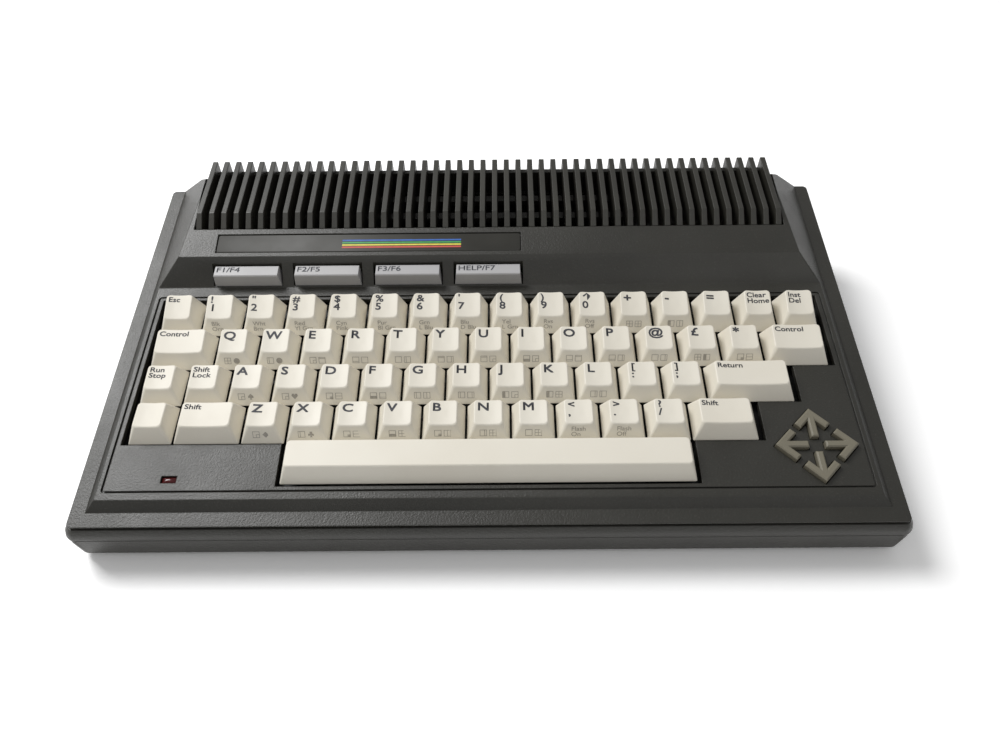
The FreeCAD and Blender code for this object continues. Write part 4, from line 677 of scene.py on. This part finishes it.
# Marks on the front faces: a frame with bars inside, each between two corners in shares of its side
MARK, MARK_LINE, MARK_GAP, MARK_RISE_SHARE = 2.7, 0.20, 1.2, 0.36
FRAME_SHARES = [(0, 0, 1, 0), (0, 1, 1, 1), (0, 0, 0, 1), (1, 0, 1, 1)]
INSIDE_SHARES = {
    "plain": [],
    "cross": [(0.5, 0, 0.5, 1), (0, 0.5, 1, 0.5)],
    "high": [(0, 0.8, 1, 0.8)],
    "waist": [(0, 0.5, 1, 0.5)],
    "low": [(0, 0.25, 1, 0.25)],
    "left": [(0.3, 0, 0.3, 1)],
    "post": [(0.5, 0, 0.5, 1)],
    "right": [(0.7, 0, 0.7, 1)],
    "corner": [(0.5, 0, 0.5, 0.5), (0.5, 0.5, 1, 0.5)],
    "block": [(0.6, v, 1, v) for v in (0.2, 0.35, 0.1)],
    "half": [(u / 10, 0, u / 10, 1) for u in (1, 2, 3, 4)],
    "level": [(0, v / 10, 1, v / 10) for v in (1, 2, 3, 4)],
}
# Filled marks, as outlines in shares of the same side
OUTLINE_SHARES = {
    "disc": [(0.5 + 0.5 * math.cos(a / 8 * math.pi), 0.5 + 0.5 * math.sin(a / 8 * math.pi))
             for a in range(16)],
    "diamond": [(0.5, 0), (1, 0.5), (0.5, 1), (0, 0.5)],
    "spade": [(0.3, 0), (0.7, 0), (0.56, 0.3), (0.95, 0.3), (0.9, 0.6), (0.5, 1), (0.1, 0.6), (0.05, 0.3),
              (0.44, 0.3)],
    "heart": [(0.5, 0), (1, 0.6), (0.9, 0.95), (0.6, 0.95), (0.5, 0.75), (0.4, 0.95), (0.1, 0.95),
              (0, 0.6)],
    "club": [(0.3, 0), (0.7, 0), (0.55, 0.3), (0.95, 0.25), (0.95, 0.6), (0.68, 0.6), (0.7, 0.95),
             (0.3, 0.95), (0.32, 0.6), (0.05, 0.6), (0.05, 0.25), (0.45, 0.3)],
}


def mark_on_front(shape, cap, x, kind):
    """Small printed mark on a cap's front face: a filled figure, or a square with bars inside."""
    if kind in OUTLINE_SHARES:
        points = [(u * MARK, v * MARK) for u, v in OUTLINE_SHARES[kind]]
        shape.face(shape.ring(on_front(cap, points, x, MARK_RISE_SHARE)), FRONT_INK)
        return
    half = MARK_LINE / 2
    for u0, v0, u1, v1 in FRAME_SHARES + INSIDE_SHARES[kind]:
        points = [(u0 * MARK - half, v0 * MARK - half), (u1 * MARK + half, v0 * MARK - half),
                  (u1 * MARK + half, v1 * MARK + half), (u0 * MARK - half, v1 * MARK + half)]
        shape.face(shape.ring(on_front(cap, points, x, MARK_RISE_SHARE)), FRONT_INK)


def words_on_front(shape, cap, text, height, x, share):
    """Small words on a cap's front face."""
    mesh, size = letter_mesh(text), height / CAPITAL
    flat = [(v.co.x * size * SMALL_LETTER_WIDTH, v.co.y * size) for v in mesh.vertices]
    first = shape.ring(on_front(cap, flat, x, share))[0]
    for polygon in mesh.polygons:
        shape.face([first + i for i in polygon.vertices], FRONT_INK)


def row_keys(row, names, left, legends, fronts=()):
    """Keys one pitch wide, side by side, each with its legend and what its front face shows."""
    fronts = list(fronts) + [None] * (len(names) - len(fronts))
    return [(name, row, 1, left + i, legend, front)
            for i, (name, legend, front) in enumerate(zip(names, legends, fronts))]


# Every key: its node, row, width in pitches, place from the left, legend and front marks
SIGNS = ["!", '"', "#", "$", "%", "&", "'", "(", ")", "↑"]
DIGITS = list(zip(SIGNS, "1234567890"))
TINTS = ["Blk\nOrn", "Wht\nBrn", "Red\nYl Grn", "Cyn\nPink", "Pur\nBl Grn", "Grn\nL Blu", "Blu\nD Blu",
         "Yel\nL Grn", "Rvs\nOn", "Rvs\nOff"]
UPPER_MARKS = [("cross", "disc"), ("left", "disc"), ("corner", "high"), ("low", "plain"),
               ("plain", "left"), ("high", "right"), ("high", "corner"), ("level", "corner"),
               ("low", "high"), ("low", "right"), ("plain", "right"), ("cross", "half"),
               ("block", "waist")]
MIDDLE_MARKS = [("corner", "spade"), ("corner", "heart"), ("block", "waist"), ("level", "low"),
                ("left", "post"), ("left", "right"), ("half", "corner"), ("half", "cross"),
                ("right", "left")]
LOWER_MARKS = [("corner", "diamond"), ("left", "club"), ("block", "waist"), ("level", "cross"),
               ("block", "post"), ("right", "cross"), ("plain", "cross")]
SHARED = ["shared"]
KEYS = [("shared", "digit", 1, 0, "Esc", None)]
KEYS += row_keys("digit", SHARED * 10, 1, DIGITS, TINTS)
KEYS += row_keys("digit", SHARED * 5, 11, ["+", "-", "=", "Clear\nHome", "Inst\nDel"],
                 [("cross", "cross"), ("half", "post")])
KEYS += [("control_key_left", "upper", 1.5, 0, "Control", None),
         ("control_key_right", "upper", 1.5, 14.5, "Control", None)]
KEYS += row_keys("upper", [f"letter_key_{c}" for c in "qwertyuiop"] + SHARED * 3, 1.5, "QWERTYUIOP@£*",
                 UPPER_MARKS)
KEYS += row_keys("middle", SHARED * 2, 0, ["Run\nStop", "Shift\nLock"])
KEYS += row_keys("middle", [f"letter_key_{c}" for c in "asdfghjkl"], 2, "ASDFGHJKL", MIDDLE_MARKS)
KEYS += row_keys("middle", SHARED * 2, 11, [("[", ":"), ("]", ";")])
KEYS += [("return_key", "middle", 2, 13, "Return", None), ("shared", "lower", 1, 0, "", None),
         ("shift_key_left", "lower", 1.5, 1, "Shift", None),
         ("shift_key_right", "lower", 1.5, 12.5, "Shift", None)]
KEYS += row_keys("lower", [f"letter_key_{c}" for c in "zxcvbnm"], 2.5, "ZXCVBNM", LOWER_MARKS)
KEYS += row_keys("lower", SHARED * 3, 9.5, [("<", ","), (">", "."), ("?", "/")],
                 ["Flash\nOn", "Flash\nOff"])
KEYS += [("space_bar", "space", 9, 3.5, "", None)]

# Print on the tops: height, distance from the top's left and back edges, growth of the strokes
SIGN_PRINT, DIGIT_PRINT = (3.0, 1.3, 1.0, 0.2), (3.2, 1.3, 4.8, 0.2)
LETTER_PRINT, WORD_PRINT = (3.7, 1.2, 1.4, 0.28), (2.2, 0.9, 1.2, 0.14)
FRONT_INSET, FRONT_WORD_HEIGHT, FRONT_WORD_RISE_SHARE = 2.4, 1.9, 0.60


def add_legend(shape, cap, legend):
    """Dark legend on a cap's top, sized by its kind."""
    if isinstance(legend, tuple):
        sign, digit = legend
        print_on_top(shape, cap, sign, *SIGN_PRINT)
        print_on_top(shape, cap, digit, *DIGIT_PRINT)
    elif legend:
        print_on_top(shape, cap, legend, *(LETTER_PRINT if len(legend) == 1 else WORD_PRINT))


def add_front(shape, cap, front):
    """What a cap's front face shows: two marks or two small words."""
    x = cap.tx0 + FRONT_INSET
    if isinstance(front, tuple):
        for side, kind in enumerate(front):
            mark_on_front(shape, cap, x + side * (MARK + MARK_GAP), kind)
    elif front:
        words_on_front(shape, cap, front, FRONT_WORD_HEIGHT, x, FRONT_WORD_RISE_SHARE)


shapes = {}
for name, row, units, left, legend, front in KEYS:
    shape = shapes.setdefault(name, Shape())
    cap = Cap(row, units, left)
    cap.add_to(shape)
    add_legend(shape, cap, legend)
    add_front(shape, cap, front)
for name, shape in shapes.items():
    node = "number_and_symbol_keys" if name == "shared" else name
    settle(f"{node}_cap", crisp(smooth(shape.mesh(node))), f"{node}_body", [CREAM, DARK_INK, FAINT_INK],
           [node])


def surface_of(node):
    """Function that gives the height of a solid's top surface at a place in the deck frame."""
    source, back = frame["nodes"][node].data, DECK.inverted()
    tree = BVHTree.FromPolygons([back @ v.co / MM for v in source.vertices],
                                [tuple(p.vertices) for p in source.polygons])
    return lambda x, y: tree.ray_cast(Vector((x, y, WELL_ABOVE)), Vector((0, 0, -1)))[0].z


# Function keys and cursor keys
WELL_ABOVE = 50.0
FUNCTION_LEGENDS = ["F1/F4", "F2/F5", "F3/F6", "HELP/F7"]
FUNCTION_BEVEL, FUNCTION_EDGE, CURSOR_EDGE = 0.5, 0.12, 0.1
FUNCTION_PRINT, FUNCTION_PRINT_LEFT, FUNCTION_PRINT_BACK, FUNCTION_PRINT_GROWTH = 2.8, 1.7, 0.7, 0.1
for number, legend in enumerate(FUNCTION_LEGENDS, start=1):
    node = f"function_key_{number}"
    (low, high), = solids_of(node, DECK)
    cap = bevelled(merged_copy(node), FUNCTION_EDGE)
    settle(f"{node}_cap", cap, f"{node}_body", [COOL_GREY], [node])
    words = Shape()
    print_text(words, surface_of(node), legend, FUNCTION_PRINT, low.x + FUNCTION_PRINT_LEFT,
               high.y - FUNCTION_BEVEL - FUNCTION_PRINT_BACK, FUNCTION_PRINT_GROWTH, 0)
    settle(f"{node}_legend", smooth(words.mesh(f"{node}_legend"), flip=False), f"{node}_body", [SLATE_INK])
for side in ("up", "down", "left", "right"):
    node = f"cursor_key_{side}"
    cap = bevelled(merged_copy(node), CURSOR_EDGE, 1, 25)
    settle(f"{node}_cap", cap, f"{node}_body", [TAUPE], [node])

# Badge strip
STRIP_SINK, STRIP_THICKNESS, STRIP_GAP, STRIP_EDGE, STRIP_CORNER = 0.2, 0.8, 0.25, 0.15, 0.9
STRIPE_LEFT, STRIPE_RIGHT, STRIPE_FIRST, STRIPE_STEP, STRIPE_WIDTH = -69.0, -13.0, 133.6, 1.3, 0.85


def badge_rise(y, lift=0.0):
    """Height of the strip's top face over the deck, at a place y."""
    return deck_rise(y) - STRIP_SINK + lift


(low, high), = solids_of("badge_strip", DECK)
strip = Shape()
rings = []
for inset, lift in ((0.0, -STRIP_THICKNESS), (0.0, -STRIP_EDGE), (STRIP_EDGE, 0.0)):
    ring = rounded_ring(low.x + STRIP_GAP + inset, high.x - STRIP_GAP - inset, low.y + STRIP_GAP + inset,
                        high.y - STRIP_GAP - inset, STRIP_CORNER, 4, 2)
    rings.append([(x, y, badge_rise(y, lift)) for x, y in ring])
strip.loft(rings)
for number in range(len(STRIPES)):
    y0 = STRIPE_FIRST + (len(STRIPES) - 1 - number) * STRIPE_STEP
    y1 = y0 + STRIPE_WIDTH
    corners = [(STRIPE_LEFT, y0), (STRIPE_RIGHT, y0), (STRIPE_RIGHT, y1), (STRIPE_LEFT, y1)]
    strip.face(strip.ring([(x, y, badge_rise(y, PRINT_LIFT)) for x, y in corners]), number + 1)
settle("badge_strip_face", smooth(strip.mesh("badge_strip")), MAIN_BODY, [STRIP, *STRIPES], ["badge_strip"])

# Lamp lens with a crowned top
LENS_CROWN, LENS_CORNER = 0.8, 0.3
(low, high), = solids_of("power_lamp", DECK)
lens = Shape()
rings = [[(x, y, low.z) for x, y in rounded_ring(low.x, high.x, low.y, high.y, LENS_CORNER, 3, 6)]]
for share in (1.0, 0.92, 0.75, 0.5, 0.25, 0.08):
    inset_x, inset_y = ((high[i] - low[i]) / 2 * (1 - share) for i in (0, 1))
    rings.append([(x, y, high.z - LENS_CROWN * share ** 2) for x, y in rounded_ring(
        low.x + inset_x, high.x - inset_x, low.y + inset_y, high.y - inset_y, LENS_CORNER * share, 3, 6)])
lens.loft(rings)
settle("power_lamp_lens", smooth(lens.mesh("power_lamp")), MAIN_BODY, [LENS], ["power_lamp"])


# Feet, screws, pins and contacts
def turned(profile, sides, place=LEVEL):
    """Solid of revolution about z through a profile of radius and height, from the bottom up."""
    shape = Shape()
    turns = [2 * math.pi * i / sides for i in range(sides)]
    shape.loft([[(r * math.cos(a), r * math.sin(a), z) for a in turns] for r, z in profile])
    return smooth(shape.mesh("turned", place))


def spots(places):
    mesh = bpy.data.meshes.new("spots")
    mesh.from_pydata(places, [], [])
    return mesh


feet = solids_of("rubber_feet", LEVEL)
foot_low, foot_high = feet[0]
foot_radius, foot_rise = (foot_high.x - foot_low.x) / 2, foot_high.z
# From the hollow underside over the ring that touches the table to the flared top
foot_profile = [(-1.4, 0.35), (-1.1, 0.0), (-0.9, 0.05), (-0.45, 0.5), (0.0, foot_rise)]
foot = turned([(foot_radius + inset, z) for inset, z in foot_profile], 32)
places = [((a.x + b.x) / 2 * MM, (a.y + b.y) / 2 * MM, 0) for a, b in feet]
settle("rubber_feet_turned", repeated(SPOTS, foot, RUBBER, spots(places)), MAIN_BODY, [],
       ["rubber_feet"])

# Screws: pan heads with a cross recess, seen at the bottom of the holes in the base
SCREW_HEAD, SCREW_HEAD_HEIGHT, SCREW_SHANK, SCREW_EDGE = 2.9, 2.0, 1.4, 0.35
CROSS_REACH, CROSS_HALF_WIDTH, CROSS_DEPTH, CROSS_TAPER = 1.7, 0.42, 1.3, 0.7
screws = solids_of("case_screws", DECK)
length = min(high.z - low.z for low, high in screws)
corner = [(CROSS_HALF_WIDTH, CROSS_REACH), (CROSS_HALF_WIDTH,) * 2, (CROSS_REACH, CROSS_HALF_WIDTH)]
cross = [(u * x, v * y) for u, v in ((1, 1), (1, -1), (-1, -1), (-1, 1)) for x, y in corner[::u * v]]
rings = [[(x * CROSS_TAPER, y * CROSS_TAPER, CROSS_DEPTH) for x, y in cross], [(x, y, 0) for x, y in cross]]
for radius, z in ((SCREW_HEAD - SCREW_EDGE, 0), (SCREW_HEAD, SCREW_EDGE), (SCREW_HEAD, SCREW_HEAD_HEIGHT),
                  (SCREW_SHANK, SCREW_HEAD_HEIGHT), (SCREW_SHANK, length)):
    rings.append([(x * radius / math.hypot(x, y), y * radius / math.hypot(x, y), z) for x, y in cross])
screw = Shape()
screw.loft(rings)
places = [tuple(DECK @ (Vector(((a.x + b.x) / 2, (a.y + b.y) / 2, a.z)) * MM)) for a, b in screws]
tilted = smooth(screw.mesh("screw", DECK.to_3x3().to_4x4()), 30)
settle("case_screws_driven", repeated(SPOTS, tilted, ZINC, spots(places)), MAIN_BODY, [], ["case_screws"])

# Pieces that keep their solid and get their finish
for node, finish in (("key_plate", BLACK), ("keyboard_board", BOARD), ("keyboard_cable", RIBBON),
                     ("main_board", BOARD), ("board_chips", EPOXY), ("rf_modulator", TINNED),
                     ("din_sockets", BLACK), ("mini_din_sockets", BLACK), ("expansion_socket", BLACK),
                     ("switch_housings", BLACK), ("power_switch", BLACK), ("reset_button", BLACK)):
    materials = frame["nodes"][node].data.materials
    for index in range(len(materials)):
        materials[index] = finish

# Pins of the round sockets
OPENINGS = {opening["name"]: opening["box_m"] for opening in frame["record"]["physics"]["openings"]}
PIN_LENGTH, PIN_SINK, PIN_TIP_SHARE = 5.0, 0.1, 0.4


def socket_pins(name, count, radius, pin, start, sweep):
    """Round pins on an arc at the bottom of a round socket's recess."""
    (x0, y0, z0), (x1, y1, z1) = OPENINGS[name]
    lay = Matrix.Rotation(-math.pi / 2, 4, "X")
    piece = turned([(pin, 0.0), (pin, PIN_LENGTH - pin), (pin * PIN_TIP_SHARE, PIN_LENGTH)], 10, lay)
    middle = ((x0 + x1) / 2, y0 - PIN_SINK * MM, (z0 + z1) / 2)
    mesh = repeated(ARC, piece, GILT, Count=count, Radius=radius * MM, Start_Angle=math.radians(start),
                    Sweep=math.radians(sweep), Middle=middle)
    settle(f"{name}_pins", mesh, MAIN_BODY, [])


socket_pins("power_socket", 4, 3.2, 0.7, 45, 270)
socket_pins("serial_socket", 6, 3.8, 0.6, -120, 240)
socket_pins("video_socket", 8, 3.8, 0.6, -135, 270)
socket_pins("cassette_socket", 7, 2.2, 0.4, -140, 280)
socket_pins("first_joystick_socket", 8, 2.2, 0.4, -140, 280)
socket_pins("second_joystick_socket", 8, 2.2, 0.4, -140, 280)

# Flange of the expansion socket: it covers the gap round the socket from inside the rear wall
FLANGE_REACH, FLANGE_THICKNESS, FLANGE_SETBACK, FLANGE_EDGE = 1.2, 0.9, 2.3, 0.1
(low, high), = solids_of("expansion_socket", LEVEL)
left, right, top = low.x - FLANGE_REACH, high.x + FLANGE_REACH, high.z + FLANGE_REACH
outline = [(left, low.z), (low.x, low.z), (low.x, high.z), (high.x, high.z), (high.x, low.z),
           (right, low.z), (right, top), (left, top)]
back = high.y - FLANGE_SETBACK
flange = Shape()
flange.loft([[(x, y, z) for x, z in outline] for y in (back - FLANGE_THICKNESS, back)])
settle("expansion_socket_flange", bevelled(flange.mesh("flange", LEVEL), FLANGE_EDGE), MAIN_BODY, [BLACK])

# Contacts on both faces of the board's tongue
FINGER_COUNT, FINGER_PITCH, FINGER_WIDTH = 11, 3.96, 2.4
FINGER_LENGTH, FINGER_LIFT, FINGER_INSET = 6.0, 0.05, 0.5
left, right = (corner[0] for corner in OPENINGS["edge_port_above"])
board_low, board_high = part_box("main_board")
for side, level in (("upper", board_high.z + FINGER_LIFT * MM), ("lower", board_low.z - FINGER_LIFT * MM)):
    finger = Shape()
    finger.box((-FINGER_WIDTH / 2, -FINGER_LENGTH, -FINGER_LIFT), (FINGER_WIDTH / 2, 0, FINGER_LIFT))
    first = ((left + right) / 2 - (FINGER_COUNT - 1) / 2 * FINGER_PITCH * MM,
             board_high.y - FINGER_INSET * MM, level)
    mesh = repeated(ROW, finger.mesh("finger", LEVEL), GILT, Count=FINGER_COUNT, Start=first,
                    Step=(FINGER_PITCH * MM, 0, 0))
    settle(f"{side}_edge_contacts", mesh, MAIN_BODY, [])

# Camera: place and turns in the deck frame, from the photograph
CAMERA_PLACE = (5.93, -127.85, 290.45)
CAMERA_DOWN, CAMERA_TURN, CAMERA_ROLL = math.radians(55.632), math.radians(-0.289), math.radians(0.701)
FOCAL_PIXELS, FRAME_PIXELS, SENSOR = 798.4, 1000, 36.0
camera_data = bpy.data.cameras.new("camera")
camera_data.sensor_width = SENSOR
camera_data.lens = SENSOR * FOCAL_PIXELS / FRAME_PIXELS
camera_data.clip_start, camera_data.clip_end = 0.01, 20
camera = link("camera", camera_data)
turn = (Matrix.Rotation(CAMERA_ROLL, 4, "Z") @ Matrix.Rotation(CAMERA_DOWN - math.pi / 2, 4, "X")
        @ Matrix.Rotation(CAMERA_TURN, 4, "Z"))
camera.matrix_world = DECK @ Matrix.Translation(Vector(CAMERA_PLACE) * MM) @ turn.transposed()
bpy.context.scene.camera = camera


def add_light(name, place, size, power):
    """Square soft light that faces the computer."""
    data = bpy.data.lights.new(name, "AREA")
    data.shape = "SQUARE"
    data.size = size
    data.energy = power
    item = link(name, data)
    item.location = place
    item.rotation_euler = (-Vector(place)).to_track_quat("-Z", "Y").to_euler()


add_light("left_softbox", (-0.74, 0.50, 1.12), 0.62, 16.5)
add_light("front_fill", (0.35, -1.1, 1.25), 1.2, 2.5)

# Even sky
WORLD_LIGHT = 0.38
world = bpy.data.worlds.new("studio")
bpy.context.scene.world = world
world.use_nodes = True
tree = world.node_tree
tree.nodes.clear()
background = add(tree, "ShaderNodeBackground", {"Color": (1, 1, 1, 1), "Strength": WORLD_LIGHT})
add(tree, "ShaderNodeOutputWorld", {"Surface": background.outputs[0]})

# Floor
FLOOR_REACH, FLOOR_LIFT = 3.0, 0.26


def white_paper():
    """Matt white paper under the computer. What the camera sees of it, and mirrors in the object show,
    is lifted to the white of the photograph, and the shadow stays."""
    material, tree, place = new_material("white_paper")
    fibre = add(tree, "ShaderNodeTexNoise", {"Vector": place, "Scale": per_metre(6), "Detail": 3.0})
    bump = add(tree, "ShaderNodeBump", {"Distance": 0.002 * MM, "Height": fibre.outputs[0]})
    path = add(tree, "ShaderNodeLightPath")
    mirrored = add(tree, "ShaderNodeMath",
                   {0: path.outputs["Is Glossy Ray"], 1: path.outputs["Is Transmission Ray"]},
                   operation="MAXIMUM")
    seen = add(tree, "ShaderNodeMath", {0: path.outputs["Is Camera Ray"], 1: mirrored.outputs[0]},
               operation="MAXIMUM")
    lift = add(tree, "ShaderNodeMath", {0: seen.outputs[0], 1: FLOOR_LIFT}, operation="MULTIPLY")
    sheet = add(tree, "ShaderNodeBsdfPrincipled", {
        "Base Color": colour("ffffff"), "Roughness": 0.9, "Specular IOR Level": 0.0,
        "Normal": bump.outputs[0]})
    bloom = add(tree, "ShaderNodeBsdfDiffuse", {"Color": lift.outputs[0], "Normal": bump.outputs[0]})
    both = add(tree, "ShaderNodeAddShader", {0: sheet.outputs[0], 1: bloom.outputs[0]})
    add(tree, "ShaderNodeOutputMaterial", {"Surface": both.outputs[0]})
    return material


floor_mesh = bpy.data.meshes.new("floor")
corners = [(-1, -1), (1, -1), (1, 1), (-1, 1)]
floor_mesh.from_pydata([(x * FLOOR_REACH, y * FLOOR_REACH, 0) for x, y in corners], [], [(0, 1, 2, 3)])
floor_mesh.materials.append(white_paper())
link("floor", floor_mesh)

bpy.context.scene.view_settings.view_transform = "Standard"
